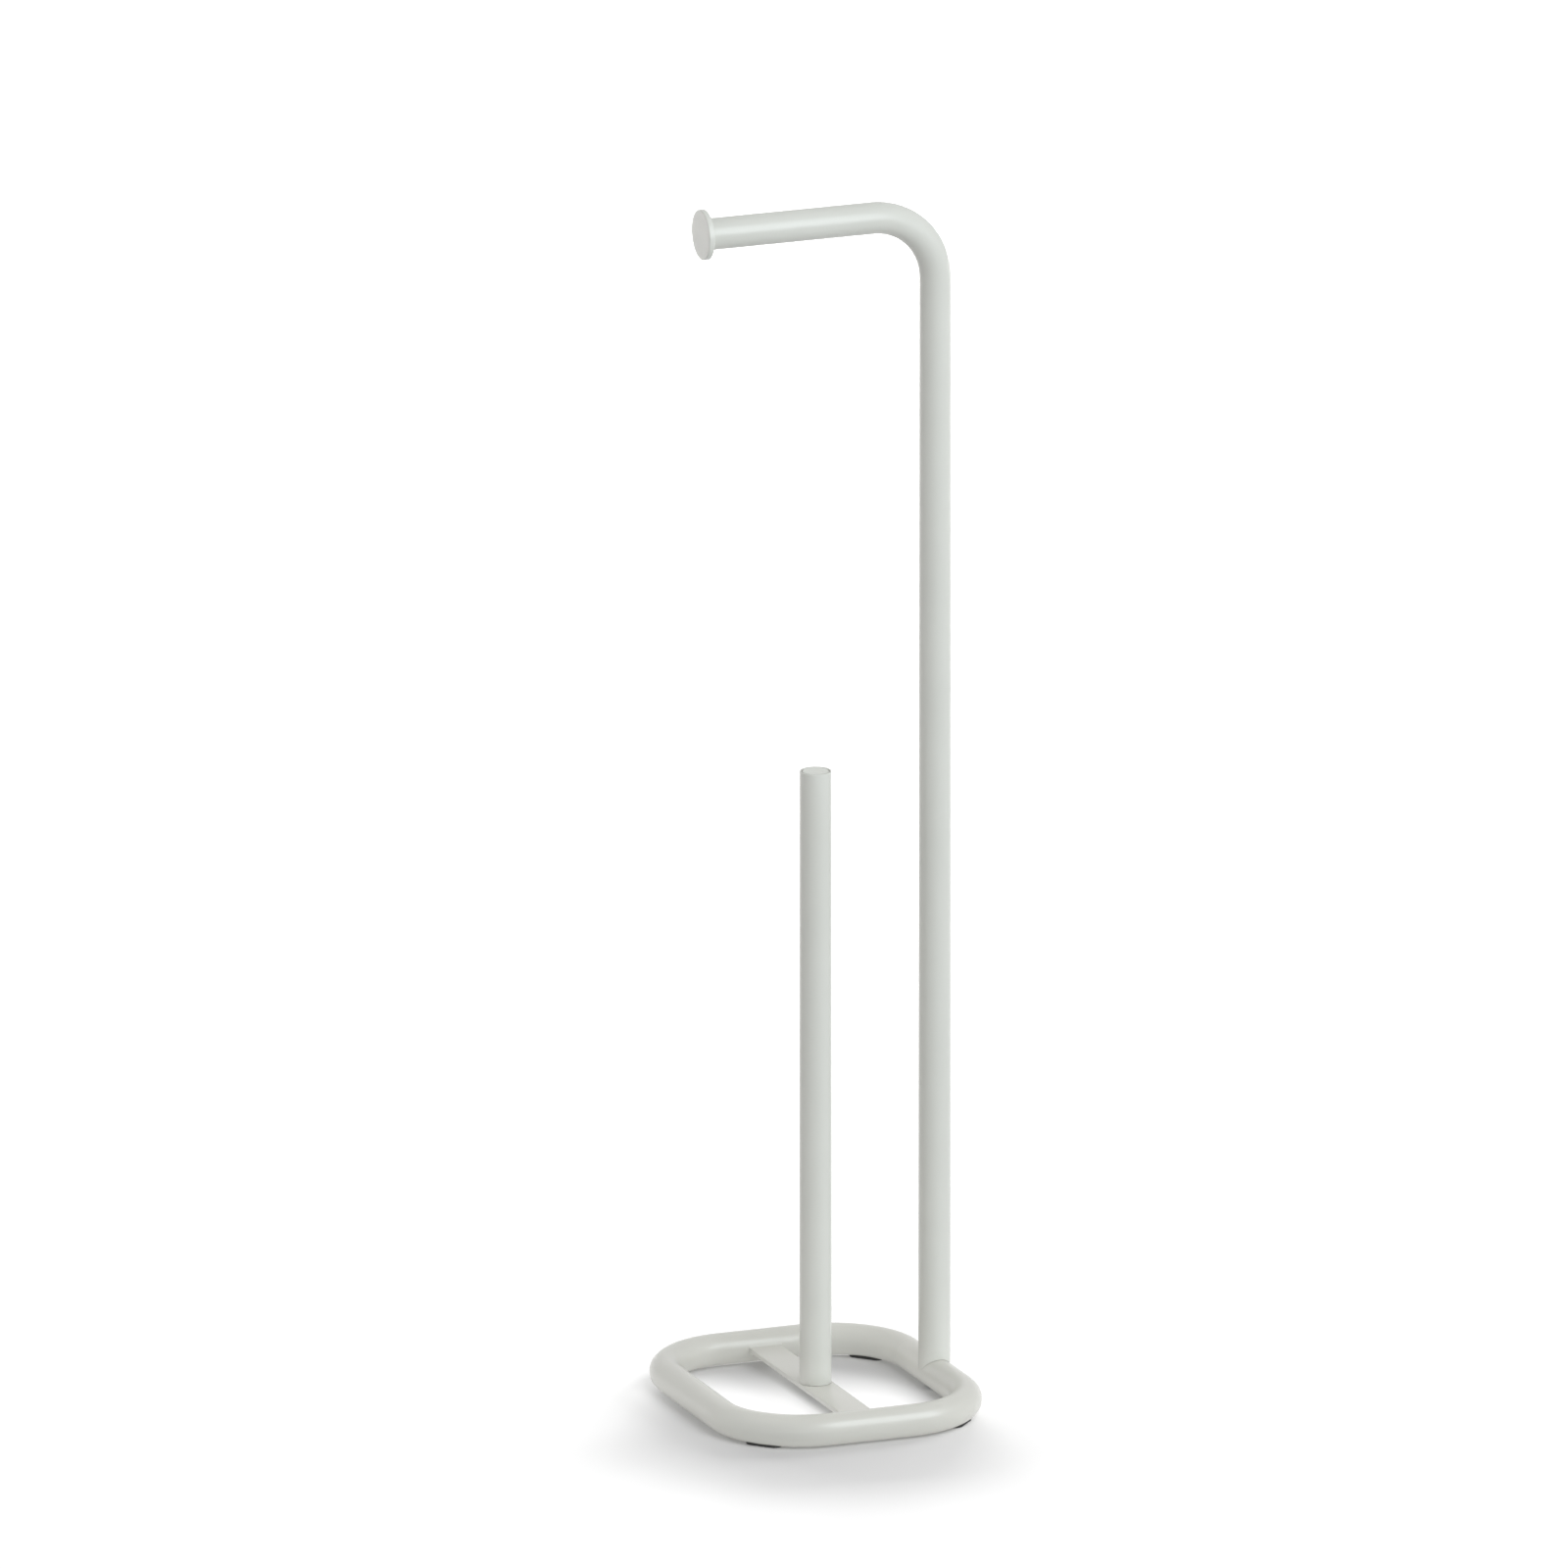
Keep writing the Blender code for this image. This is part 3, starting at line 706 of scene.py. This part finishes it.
# %% Mould the pads
PAD_WIDTH = 0.009
PAD_LENGTH = 0.022
PAD_SHIFT = 0.0016
PAD_EDGE = 0.00025
PAD_STEPS = 10
PAD_EDGE_STEPS = 4
HOLLOW_STEPS = 4
PAD_NAMES = ("rear_right", "rear_left", "front_left", "front_right")


def pad_outline(inset, narrowing=1):
    """Strip with round ends along the corner's arc about +X, as angle and distance across the arc."""
    half = PAD_WIDTH / 2 - inset
    reach = PAD_LENGTH / 2 - PAD_WIDTH / 2
    far = arc((reach, 0), half, math.pi / 2, -math.pi / 2, PAD_STEPS)
    near = arc((-reach, 0), half, -math.pi / 2, -3 * math.pi / 2, PAD_STEPS)
    return [(along / RING_CORNER_RADIUS, across * narrowing) for along, across in far + near]


def tube_underside(across):
    """Height of the ring tube's underside at a distance across the corner's arc."""
    return RING_AXIS_HEIGHT - math.sqrt((TUBE_RADIUS + JOINT_GAP) ** 2 - across ** 2)


def pad_station(inset, height, narrowing=1):
    """Ring of points on a pad. Height None follows the tube above, seen from the corner's middle."""
    station = []
    for angle, across in pad_outline(inset, narrowing):
        z = tube_underside(across) if height is None else height
        radius = RING_CORNER_RADIUS + across
        station.append((radius * math.cos(angle), radius * math.sin(angle), z))
    return station


pad_stations = [pad_station(PAD_EDGE, 0, 0)]
for a in [math.pi / 2 * step / PAD_EDGE_STEPS for step in range(PAD_EDGE_STEPS + 1)]:
    pad_stations.append(pad_station(PAD_EDGE * (1 - math.sin(a)), PAD_EDGE * (1 - math.cos(a))))
pad_stations += [pad_station(0, None, 1 - step / HOLLOW_STEPS) for step in range(HOLLOW_STEPS + 1)]
for pad_name, ((x, y), turn) in zip(PAD_NAMES, corners):
    shift = math.copysign(PAD_SHIFT / RING_CORNER_RADIUS, x * y)
    add_piece(
        "pad_" + pad_name, skin("pad", pad_stations), black_rubber, "foot_pad_" + pad_name,
        place=(x, y, 0), turn=(0, 0, (turn + 0.5) * math.pi / 2 - shift),
    )

# %% [markdown]
# ## Screws and washers
#
# The post and the upright are each held by a socket screw from below. They are zinc plated, which looks
# bright but slightly milky, with fine circular marks from turning. The marks are a wave texture in rings
# about the screw's own axis, so each screw and washer keeps its origin there.

# %% Mix the zinc
ZINC_COLOUR = (0.60, 0.61, 0.64)
ZINC_MILKY_COLOUR = (0.50, 0.51, 0.52)
ZINC_ROUGHNESS = (0.28, 0.42)
ZINC_MARKS_PER_METRE = 900
ZINC_MARK_UNEVENNESS = 1.5
ZINC_MARK_HEIGHT = 0.000004
ZINC_CLOUDS_PER_METRE = 260
ZINC_GLOSS_SPOTS_PER_METRE = 700

zinc_steel, tree, shader, place = new_finish("bright_zinc_plate")
shader.inputs["Metallic"].default_value = 1
rings = tree.nodes.new("ShaderNodeTexWave")
rings.wave_type = "RINGS"
rings.rings_direction = "Z"
rings.inputs["Scale"].default_value = ZINC_MARKS_PER_METRE
rings.inputs["Distortion"].default_value = ZINC_MARK_UNEVENNESS
tree.links.new(place, rings.inputs["Vector"])
milky = spread(tree, noise(tree, place, ZINC_CLOUDS_PER_METRE), 0, 1)
tree.links.new(blend(tree, milky, ZINC_COLOUR, ZINC_MILKY_COLOUR), shader.inputs["Base Color"])
gloss_spots = noise(tree, place, ZINC_GLOSS_SPOTS_PER_METRE)
tree.links.new(spread(tree, gloss_spots, *ZINC_ROUGHNESS), shader.inputs["Roughness"])
rough_surface(tree, shader, rings.outputs["Fac"], ZINC_MARK_HEIGHT)
print("zinc:", len(tree.nodes), "nodes")

# %% Turn the screws
SCREW_RADIUS = 0.003
HEAD_RADIUS = 0.005
HEAD_HEIGHT = 0.0022
HEAD_CHAMFER = 0.0005
SOCKET_ACROSS_FLATS = 0.004
SOCKET_DEPTH = 0.0016
HEXAGON = 6
THREAD_PITCH = 0.001
THREAD_DEPTH = 0.0006
THREAD_STEPS = 8
SCREW_SIDES = 48


def thread_station(height, length):
    """Ring of points on the shank. Its radius winds up the thread and fades out at both ends."""
    fade = min(1, height / THREAD_PITCH, (length - height) / THREAD_PITCH)
    station = []
    for angle in [math.tau * side / SCREW_SIDES for side in range(SCREW_SIDES)]:
        wave = (1 - math.cos(math.tau * height / THREAD_PITCH - angle)) / 2
        radius = SCREW_RADIUS - THREAD_DEPTH * (wave * fade + max(0, 1 - fade) / 2)
        station.append((radius * math.cos(angle), radius * math.sin(angle), height))
    return station


def circle(radius, height):
    """Ring of points on the head."""
    return [(x, y, height) for x, y in arc((0, 0), radius, 0, math.tau, SCREW_SIDES)[:-1]]


def screw_skin(length):
    """Socket screw with the seat of its head at height 0."""
    turns = int(length / THREAD_PITCH * THREAD_STEPS)
    shank = [thread_station(length * step / turns, length) for step in range(turns + 1)]
    head = [
        circle(0, -HEAD_HEIGHT),
        circle(HEAD_RADIUS - HEAD_CHAMFER, -HEAD_HEIGHT),
        circle(HEAD_RADIUS, HEAD_CHAMFER - HEAD_HEIGHT),
        circle(HEAD_RADIUS, 0),
    ]
    socket_radius = SOCKET_ACROSS_FLATS / math.sqrt(3)
    socket_floor = SOCKET_DEPTH - HEAD_HEIGHT
    socket_profile = [
        (socket_radius, -2 * HEAD_HEIGHT),
        (socket_radius, socket_floor),
        (0, socket_floor + socket_radius / 3),
    ]
    mouth_profile = [
        (socket_radius + HEAD_CHAMFER, -HEAD_HEIGHT - HEAD_CHAMFER / 2),
        (0, socket_radius - HEAD_HEIGHT),
    ]
    socket = turned("socket", socket_profile, HEXAGON)
    mouth = turned("mouth", mouth_profile, SCREW_SIDES)
    return carved(skin("screw", head + shank), socket, mouth)


for name, node in (("upright_socket_screw", "upright_screw"), ("post_socket_screw", "post_screw")):
    low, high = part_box(node)
    seat = low.z + HEAD_HEIGHT
    middle = ((low.x + high.x) / 2, 0, seat)
    add_piece(name, screw_skin(high.z - seat), zinc_steel, node, place=middle)

# %% [markdown]
# ## Flat washer and hidden pieces
#
# A thin flat washer spreads the pull of the post's screw over the bar. It is stamped, which leaves its rims
# slightly blunt. A drilled disc would need a cutter, but a closed profile that stays clear of the axis turns
# the washer together with its hole. The threaded inserts and the upright's curved washer are shut inside the
# tubes, where nobody sees them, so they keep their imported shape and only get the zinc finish.

# %% Turn the flat washer
WASHER_EDGE = 0.0002

low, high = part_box("post_washer")
thickness = high.z - low.z
washer_radius = high.x
profile = [
    (SCREW_HOLE_RADIUS, 0),
    (washer_radius - WASHER_EDGE, 0),
    (washer_radius, WASHER_EDGE),
    (washer_radius, thickness - WASHER_EDGE),
    (washer_radius - WASHER_EDGE, thickness),
    (SCREW_HOLE_RADIUS, thickness),
]
washer = turned("washer", profile, HOLE_SIDES, loop=True)
add_piece("post_flat_washer", washer, zinc_steel, "post_washer", place=(0, 0, low.z))

# %% Plate the hidden pieces
for node in ("upright_insert", "upright_saddle_washer", "post_insert"):
    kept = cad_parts[node]
    kept.data.materials.clear()
    kept.data.materials.append(zinc_steel)
    print(node, "keeps its packed mesh in", kept.data.materials[0].name)

# %% [markdown]
# ## Two kinds of rays
#
# The stand was photographed on white paper. The paper and the studio have to look white, but they would
# flood the stand if they shone as brightly as they look. Fewer lamps would leave the background grey. So
# each answers two kinds of rays differently: the rays that look, from the camera, in a reflection or
# through glass, and the rays that carry light.

# %% Light the studio
WORLD_FILL = 0.41

scene = bpy.context.scene
scene.view_settings.view_transform = "Standard"


def seen_directly(tree):
    """One for rays from the camera, from reflections and through glass, and zero for the rays of light."""
    light_path = tree.nodes.new("ShaderNodeLightPath")
    total = light_path.outputs["Is Camera Ray"]
    for name in ("Is Glossy Ray", "Is Transmission Ray"):
        add = tree.nodes.new("ShaderNodeMath")
        add.operation = "ADD"
        add.use_clamp = True
        tree.links.new(total, add.inputs[0])
        tree.links.new(light_path.outputs[name], add.inputs[1])
        total = add.outputs["Value"]
    return total


def plug_in(tree, value, socket):
    """Give a socket a number, or the output of another node."""
    if isinstance(value, bpy.types.NodeSocket):
        tree.links.new(value, socket)
    else:
        socket.default_value = value


def between(tree, factor, first, second):
    """Value that goes from the first to the second while the factor goes from zero to one."""
    node = tree.nodes.new("ShaderNodeMix")
    for value, socket in ((factor, "Factor"), (first, "A"), (second, "B")):
        plug_in(tree, value, node.inputs[socket])
    return node.outputs["Result"]


world = bpy.data.worlds.new("studio")
scene.world = world
world.use_nodes = True
tree = world.node_tree
background = tree.nodes["Background"]
background.inputs["Color"].default_value = (1, 1, 1, 1)
tree.links.new(between(tree, seen_directly(tree), WORLD_FILL, 1), background.inputs["Strength"])
print("studio looks white and lights with", WORLD_FILL)

# %% [markdown]
# ## Glow on the paper
#
# In the photograph the paper in front of the ring lies in a grey shadow, while inside the ring it is white
# almost up to the tubes. Lamps alone can't do both. So light is painted on: the paper glows faintly for the
# rays that look. The painted glow grows inside the ring, away from each of its sides and from the bar, which
# leaves painted shade along them, and outside beyond the shadow and far away. Each border is a soft step
# along a direction on the paper, and the steps are multiplied and added.

# %% Combine values on the paper
def calculate(tree, operation, first, second):
    """Math node on two values, each a number or the output of another node."""
    node = tree.nodes.new("ShaderNodeMath")
    node.operation = operation
    plug_in(tree, first, node.inputs[0])
    plug_in(tree, second, node.inputs[1])
    return node.outputs["Value"]


def smooth_step(tree, value, start, end):
    """Soft change from zero to one while a value goes from a start to an end."""
    ranged = tree.nodes.new("ShaderNodeMapRange")
    ranged.interpolation_type = "SMOOTHSTEP"
    ranged.inputs["From Min"].default_value = start
    ranged.inputs["From Max"].default_value = end
    tree.links.new(value, ranged.inputs["Value"])
    return ranged.outputs["Result"]


def paper_place(tree):
    """Place on the paper from the middle of the ring."""
    return tree.nodes.new("ShaderNodeTexCoord").outputs["Object"]


def away_from(tree, middle, start, end):
    """Zero around a middle on the paper, and one farther out."""
    distance = tree.nodes.new("ShaderNodeVectorMath")
    distance.operation = "DISTANCE"
    tree.links.new(paper_place(tree), distance.inputs[0])
    distance.inputs[1].default_value = middle
    return smooth_step(tree, distance.outputs["Value"], start, end)


print("paper is measured from the middle of the ring")

# %% Draw the glow
FLOOR_GLOW = 0.10
RING_STEP = (0.85, 1.10)
RING_SQUARENESS = 4
# Painted light: a pool of glow inside the ring, which fades to painted shade along the tubes.
INNER_GLOW = 0.52
GLOW_FROM_REAR = (0.078, 0.000)
REAR_SLANT = 0.35
GLOW_FROM_RIGHT = (0.074, 0.042)
GLOW_FROM_FRONT = (-0.084, -0.050)
GLOW_FROM_LEFT = (-0.072, -0.054)
# Painted shade: the glow dips beside the bar.
BAR_SHADE_MIDDLE = 0.004
BAR_SHADE = (0.004, 0.014)
FAR_GLOW = 0.10
SHADOW_MIDDLE = (-0.03, -0.09, 0)
SHADOW_FADE = (0.09, 0.16)
DISTANT_GLOW = 0.10
DISTANT_FADE = (0.40, 1.00)


def outside_ring(tree, across, along):
    """Zero on the paper inside the ring, and one outside it."""
    sides = [
        calculate(tree, "POWER", calculate(tree, "DIVIDE", place, half), RING_SQUARENESS)
        for place, half in ((across, RING_HALF_WIDTH), (along, RING_HALF_DEPTH))
    ]
    return smooth_step(tree, calculate(tree, "ADD", *sides), *RING_STEP)


def glow_on_paper(tree):
    """Strength of the paper's painted glow, which fades inwards from each side of the ring and towards the
    bar.
    """
    axes = tree.nodes.new("ShaderNodeSeparateXYZ")
    tree.links.new(paper_place(tree), axes.inputs["Vector"])
    across, along = axes.outputs["X"], axes.outputs["Y"]
    slanted = calculate(tree, "ADD", along, calculate(tree, "MULTIPLY", across, REAR_SLANT))
    from_bar = calculate(tree, "ABSOLUTE", calculate(tree, "SUBTRACT", across, BAR_SHADE_MIDDLE), 0)
    pool = calculate(tree, "MULTIPLY", smooth_step(tree, from_bar, *BAR_SHADE), INNER_GLOW)
    for place, fade in (
        (across, GLOW_FROM_LEFT),
        (across, GLOW_FROM_RIGHT),
        (along, GLOW_FROM_FRONT),
        (slanted, GLOW_FROM_REAR),
    ):
        pool = calculate(tree, "MULTIPLY", smooth_step(tree, place, *fade), pool)
    outside = calculate(tree, "MULTIPLY", outside_ring(tree, across, along), FLOOR_GLOW)
    far = calculate(tree, "MULTIPLY", away_from(tree, SHADOW_MIDDLE, *SHADOW_FADE), FAR_GLOW)
    distant = calculate(tree, "MULTIPLY", away_from(tree, (0, 0, 0), *DISTANT_FADE), DISTANT_GLOW)
    return calculate(tree, "ADD", calculate(tree, "ADD", pool, outside), calculate(tree, "ADD", far, distant))


print("glow inside the ring is at most", INNER_GLOW)

# %% [markdown]
# ## White floor
#
# The paper is a matt pale grey, because a white one would clip and lose the shadow, and the glow lifts it to
# white where no shadow falls. Rays of light meet a darker grey with an even bounce near the stand instead,
# which brightens the tubes from below. The paper is one-sided, so we can look at the stand from below too.

# %% Mix the paper
FLOOR_COLOUR = 0.50
SHADED_FLOOR_COLOUR = 0.22
PAPER_BOUNCE = 0.55
BOUNCE_FADE = (0.10, 0.21)


def bounce_from_paper(tree):
    """Strength of the light that the paper around the stand throws back up."""
    return between(tree, away_from(tree, (0, 0, 0), *BOUNCE_FADE), PAPER_BOUNCE, 0)


floor_finish = bpy.data.materials.new("white_floor")
floor_finish.use_nodes = True
tree = floor_finish.node_tree
tree.nodes.remove(tree.nodes["Principled BSDF"])
matt = tree.nodes.new("ShaderNodeBsdfDiffuse")
shade = between(tree, seen_directly(tree), SHADED_FLOOR_COLOUR, FLOOR_COLOUR)
tree.links.new(shade, matt.inputs["Color"])
glow = tree.nodes.new("ShaderNodeEmission")
strength = between(tree, seen_directly(tree), bounce_from_paper(tree), glow_on_paper(tree))
tree.links.new(strength, glow.inputs["Strength"])
both = tree.nodes.new("ShaderNodeAddShader")
tree.links.new(matt.outputs["BSDF"], both.inputs[0])
tree.links.new(glow.outputs["Emission"], both.inputs[1])
see_through = tree.nodes.new("ShaderNodeBsdfTransparent")
facing = tree.nodes.new("ShaderNodeNewGeometry")
one_sided = tree.nodes.new("ShaderNodeMixShader")
tree.links.new(facing.outputs["Backfacing"], one_sided.inputs["Fac"])
tree.links.new(both.outputs["Shader"], one_sided.inputs[1])
tree.links.new(see_through.outputs["BSDF"], one_sided.inputs[2])
tree.links.new(one_sided.outputs["Shader"], tree.nodes["Material Output"].inputs["Surface"])
print("paper:", len(tree.nodes), "nodes")

# %% Lay the floor
FLOOR_HALF_SIDE = 6

shape = bmesh.new()
bmesh.ops.create_grid(shape, x_segments=2, y_segments=2, size=FLOOR_HALF_SIDE)
floor_mesh = bpy.data.meshes.new("floor")
shape.to_mesh(floor_mesh)
shape.free()
floor_mesh.materials.append(floor_finish)
floor = bpy.data.objects.new("floor", floor_mesh)
scene.collection.objects.link(floor)
floor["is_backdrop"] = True
print("floor is", 2 * FLOOR_HALF_SIDE, "m wide")

# %% [markdown]
# ## Flag under the ring
#
# The pads hold the ring a little above the paper. The lamps behind the stand would shine through that gap and
# draw a bright line where the photograph has a dark one. Photographers stop such light with a flag, a strip
# of card. This flag is a thin band in the gap, right under the middle of the tube. The camera doesn't see it,
# and it is part of the stage and not of the stand.

# %% Hide a flag under the tube
FLAG_GAP = 0.00003
FLAG_HALF_WIDTH = 0.0001

flag_stations = []
for at, outward in ring_stations():
    inner, outer = at - FLAG_HALF_WIDTH * outward, at + FLAG_HALF_WIDTH * outward
    low, high = FLAG_GAP, ring_low.z - FLAG_GAP
    flag_stations.append([(*inner.xy, low), (*outer.xy, low), (*outer.xy, high), (*inner.xy, high)])
flag_mesh = skin("flag", flag_stations, loop=True)
flag_mesh.materials.append(powder_coat)
flag = bpy.data.objects.new("flag", flag_mesh)
scene.collection.objects.link(flag)
flag.visible_camera = False
flag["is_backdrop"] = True
print("flag is", round((high - low) * 1000, 2), "mm high")

# %% [markdown]
# ## Lamps
#
# Three groups of lamps share the work. The first lights the tubes that stand up, from all sides and from
# above. The second lights the base. The third lights only the paper, most of it low and from behind, so that
# the ring's shadow falls forward and fades slowly. One set for everything would tie the shadow to the shading
# of the tubes. Light linking keeps the groups apart: a lamp may have a collection that names what it lights,
# or what it leaves out. None of these lamps shows in a reflection.

# %% Helpers for lamps
COOL = (0.93, 1.0, 1.04)
PLAIN = (1.0, 1.0, 1.0)


def direction(azimuth, elevation):
    """Unit vector towards a lamp, with its azimuth counted from X towards Y, both in degrees."""
    a, e = math.radians(azimuth), math.radians(elevation)
    return Vector((math.cos(a) * math.cos(e), math.sin(a) * math.cos(e), math.sin(e)))


def lighting_group(name, state, pieces):
    """Collection for light linking that takes the pieces in or leaves them out."""
    group = bpy.data.collections.new(name)
    for piece in pieces:
        group.objects.link(piece)
    for item in group.collection_objects:
        item.light_linking.link_state = state
    return group


def add_lamp(name, kind, place, shine, energy, colour, group):
    """Lamp that shines in a direction on one group, and shows neither to the camera nor in reflections."""
    lamp = bpy.data.objects.new(name, bpy.data.lights.new(name, kind))
    scene.collection.objects.link(lamp)
    lamp.location = place
    lamp.rotation_mode = "QUATERNION"
    lamp.rotation_quaternion = shine.to_track_quat("-Z", "Y")
    lamp.data.energy = energy
    lamp.data.color = colour
    lamp.visible_camera = False
    lamp.visible_glossy = False
    lamp.light_linking.receiver_collection = group
    return lamp


def add_sky_lamp(name, azimuth, elevation, softness, energy, colour, group):
    """Lamp infinitely far away, soft by the angle over which it spreads."""
    towards = direction(azimuth, elevation)
    lamp = add_lamp(name, "SUN", towards, -towards, energy, colour, group)
    lamp.data.angle = math.radians(softness)


def add_strip(azimuth, energy):
    """Wide strip of light near the floor, far behind the stand, for the paper alone."""
    towards = direction(azimuth, STRIP_ELEVATION)
    place = towards * STRIP_DISTANCE
    lamp = add_lamp(f"paper_strip_{azimuth}", "AREA", place, -towards, energy, PLAIN, paper)
    lamp.data.shape = "RECTANGLE"
    lamp.data.size = 2 * STRIP_DISTANCE * math.tan(math.radians(STRIP_HALF_ANGLE))
    lamp.data.size_y = STRIP_HEIGHT


print("cool light is", COOL)

# %% Hang the lamps
STRIP_DISTANCE = 6.0
STRIP_ELEVATION = 10
STRIP_HALF_ANGLE = 15
STRIP_HEIGHT = 0.85

uprights = [scene.objects[name] for name in ("upright_and_arm", "arm_disc", "spare_roll_post", "post_plug")]
base = [scene.objects[name] for name in ("ring_tube", "cross_bar")]
for_uprights = lighting_group("all_but_paper_and_base", "EXCLUDE", [floor, *base])
for_base = lighting_group("all_but_paper_and_uprights", "EXCLUDE", [floor, *uprights])
paper = lighting_group("only_the_paper", "INCLUDE", [floor])
add_sky_lamp("upright_face_light", -90, 10, 50, 1.30, COOL, for_uprights)
add_sky_lamp("upright_corner_light", -50, 10, 50, 1.46, COOL, for_uprights)
add_sky_lamp("upright_right_light", 0, 5, 50, 0.29, PLAIN, for_uprights)
add_sky_lamp("upright_left_light", 180, 30, 60, 0.50, PLAIN, for_uprights)
add_sky_lamp("upright_rear_light", 85, 15, 50, 0.90, PLAIN, for_uprights)
add_sky_lamp("upright_top_light", 0, 88, 60, 0.38, COOL, for_uprights)
add_sky_lamp("base_front_light", -90, 10, 50, 1.20, COOL, for_base)
add_sky_lamp("base_right_light", -30, 40, 50, 1.32, PLAIN, for_base)
add_sky_lamp("base_rear_light", 150, 35, 50, 0.89, PLAIN, for_base)
add_sky_lamp("paper_front_light", -80, 45, 40, 1.87, PLAIN, paper)
add_sky_lamp("paper_side_light", 20, 25, 24, 1.37, PLAIN, paper)
for azimuth, energy in ((10, 214), (40, 264), (70, 940), (100, 340)):
    add_strip(azimuth, energy)

# %% [markdown]
# ## Softboxes
#
# The bright lines on the arm and on the ring's front side are mirror images of two softboxes. On a round tube
# such a line lies where the surface faces halfway between the camera and the softbox, and it is as wide as
# the softbox is tall. A softbox here shows only in reflections, so that its line can be bright and crisp
# while the soft light stays as it is. Each one has a group of its own, because it has one line to draw.

# %% Set up the softboxes
SOFTBOX_DISTANCE = 2.0
ARM_MIDDLE = Vector((-0.020, 0, ARM_HEIGHT))
RING_FRONT = Vector((0.020, -RING_HALF_DEPTH, RING_AXIS_HEIGHT))


def add_softbox(name, aim, azimuth, elevation, size, brightness, pieces):
    """Softbox of a size and a brightness, where one is white, seen in reflections only."""
    towards = direction(azimuth, elevation)
    energy = math.pi * size[0] * size[1] * brightness
    group = lighting_group(name + "_group", "INCLUDE", [scene.objects[piece] for piece in pieces])
    lamp = add_lamp(name, "AREA", aim + towards * SOFTBOX_DISTANCE, -towards, energy, COOL, group)
    lamp.data.shape = "RECTANGLE"
    lamp.data.size, lamp.data.size_y = size
    lamp.visible_glossy = True
    lamp.visible_diffuse = False


add_softbox("arm_softbox", ARM_MIDDLE, -81, 26.5, (1.40, 1.75), 2.7, ("upright_and_arm", "arm_disc"))
add_softbox("ring_softbox", RING_FRONT, -56, 38, (1.30, 1.30), 3.8, ("ring_tube", "cross_bar"))
print("softboxes aim at heights of", round(ARM_MIDDLE.z, 3), "and", round(RING_FRONT.z, 3), "m")

# %% [markdown]
# ## Size
#
# The dressed stand has to be as large as the imported one. A look at the picture is too coarse for that, so
# both boxes are measured from the meshes, and the largest change of a side is printed.

# %% Measure both boxes
new_low, new_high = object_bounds()
changes = [abs(new - old) for new, old in zip(new_high - new_low, cad_high - cad_low)]
print("largest change of a side in mm:", round(max(changes) * 1000, 3))
